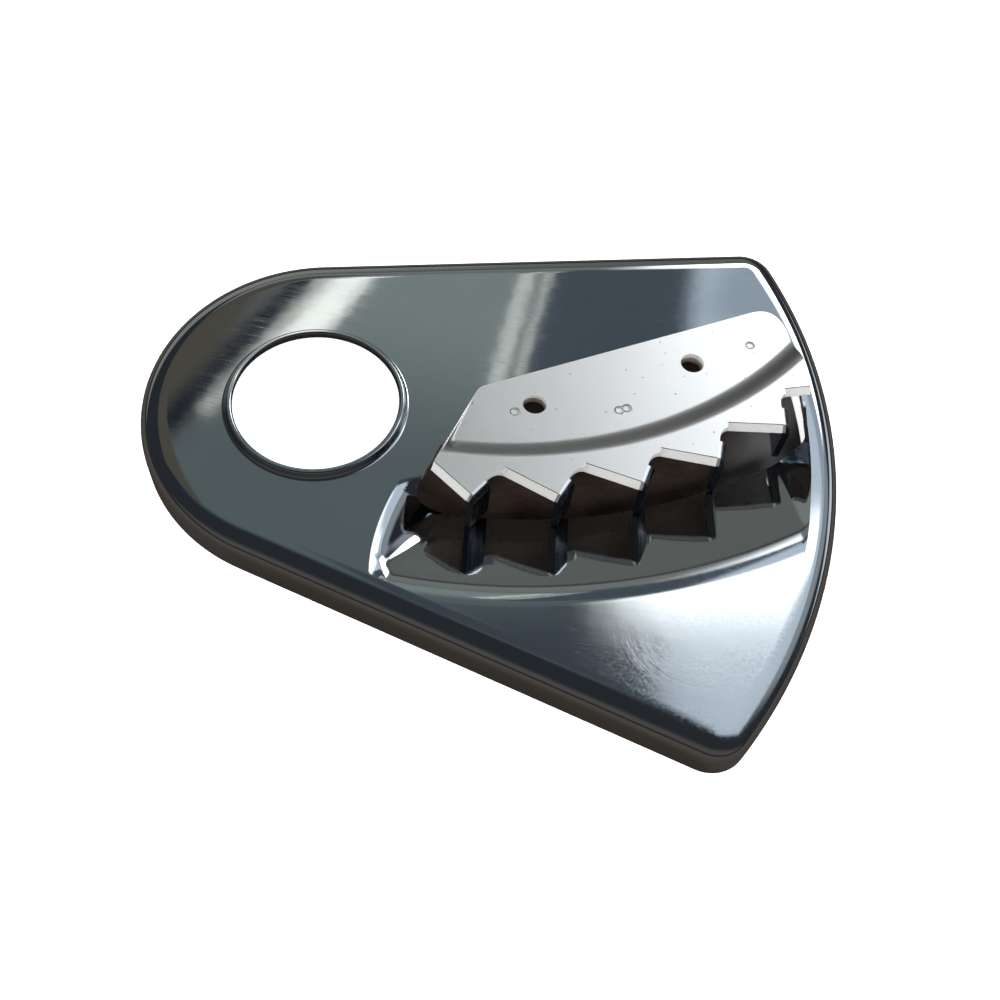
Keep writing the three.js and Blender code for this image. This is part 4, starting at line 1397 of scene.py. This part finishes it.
def studio_light():
    world = bpy.data.worlds.new("studio")
    world.use_nodes = True
    world.node_tree.nodes.clear()
    nodes = Nodes(world.node_tree)
    direction = nodes.add("ShaderNodeTexCoord").outputs["Generated"]
    split = nodes.split(direction)
    rise = nodes.maths("MAXIMUM", split[2], 0.02)
    x = nodes.maths("MULTIPLY_ADD", nodes.maths("DIVIDE", split[0], rise), CAMERA_HEIGHT, CAMERA_PLACE.x)
    y = nodes.maths("MULTIPLY_ADD", nodes.maths("DIVIDE", split[1], rise), CAMERA_HEIGHT, CAMERA_PLACE.y)
    colour = (*ROOM_COLOUR, 1.0)
    for _, middle, half, softness, turn, radiance in PANELS:
        cos, sin = math.cos(math.radians(turn)), math.sin(math.radians(turn))
        from_x, from_y = nodes.maths("SUBTRACT", x, middle[0]), nodes.maths("SUBTRACT", y, middle[1])
        shares = []
        for size, soft, run in zip(half, softness, ((cos, sin), (-sin, cos))):
            across = nodes.maths("MULTIPLY_ADD", from_x, run[0], nodes.maths("MULTIPLY", from_y, run[1]))
            apart = nodes.maths("ABSOLUTE", across)
            shares.append(nodes.ramp(apart, size - soft, size + soft, 1.0, 0.0))
        colour = nodes.blend(nodes.maths("MULTIPLY", *shares), colour, (*radiance, 1.0))
    room = nodes.add("ShaderNodeBackground")
    nodes.set(room.inputs["Color"], colour)
    backdrop = nodes.add("ShaderNodeBackground", {"Color": FLOOR_COLOUR, "Strength": 1.0})
    seen = nodes.add("ShaderNodeLightPath").outputs["Is Camera Ray"]
    mixed = nodes.add("ShaderNodeMixShader", {0: seen, 1: room.outputs[0], 2: backdrop.outputs[0]})
    nodes.add("ShaderNodeOutputWorld", {"Surface": mixed.outputs[0]})
    bpy.context.scene.world = world


studio_light()

# Low soft lamps all round light the floor, and one narrow lamp reaches it through the hub hole.
# None of them is mirrored in the steel.
LAMP_DISTANCE = 0.9
LAMP_RISE = math.radians(22)
LAMP_SIZE = 0.35
LAMP_POWER = 4.6
LAMP_COUNT = 6
HUB_LAMP_HEIGHT = 0.5
HUB_LAMP_ASIDE = 0.02
HUB_LAMP_POWER = 0.6
HUB_LAMP_MARGIN = 4.5  # how far its cone passes the hub hole's edge


def hang(name, lamp_data, spot, aim):
    lamp = bpy.data.objects.new(name, lamp_data)
    lamp.location = spot
    lamp.rotation_euler = (aim - spot).to_track_quat("-Z", "Y").to_euler()
    lamp.visible_glossy = False
    bpy.context.scene.collection.objects.link(lamp)


middle = Vector((0.0, 0.0, 0.0))
for i in range(LAMP_COUNT):
    lamp_data = bpy.data.lights.new("low_lamp", "AREA")
    lamp_data.size = LAMP_SIZE
    lamp_data.energy = LAMP_POWER
    around = math.pi / 2 + 2 * math.pi * i / LAMP_COUNT
    spot = polar(middle, LAMP_DISTANCE * math.cos(LAMP_RISE), around).to_3d()
    hang("low_lamp", lamp_data, spot + UP * LAMP_DISTANCE * math.sin(LAMP_RISE), middle)

hub_on_floor = place(HUB_CENTRE, -SKIRT_HEIGHT)
hub_lamp = bpy.data.lights.new("hub_lamp", "SPOT")
hub_lamp.energy = HUB_LAMP_POWER
hub_lamp.spot_size = 2 * math.atan((HUB_RADIUS + HUB_LAMP_MARGIN) * MM / HUB_LAMP_HEIGHT)
hub_lamp.spot_blend = 0.3
hub_lamp.shadow_soft_size = 0.01
above_hub = hub_on_floor + Vector((0.0, -HUB_LAMP_ASIDE, HUB_LAMP_HEIGHT))
hang("hub_lamp", hub_lamp, above_hub, hub_on_floor)

bpy.context.scene.view_settings.view_transform = "Standard"
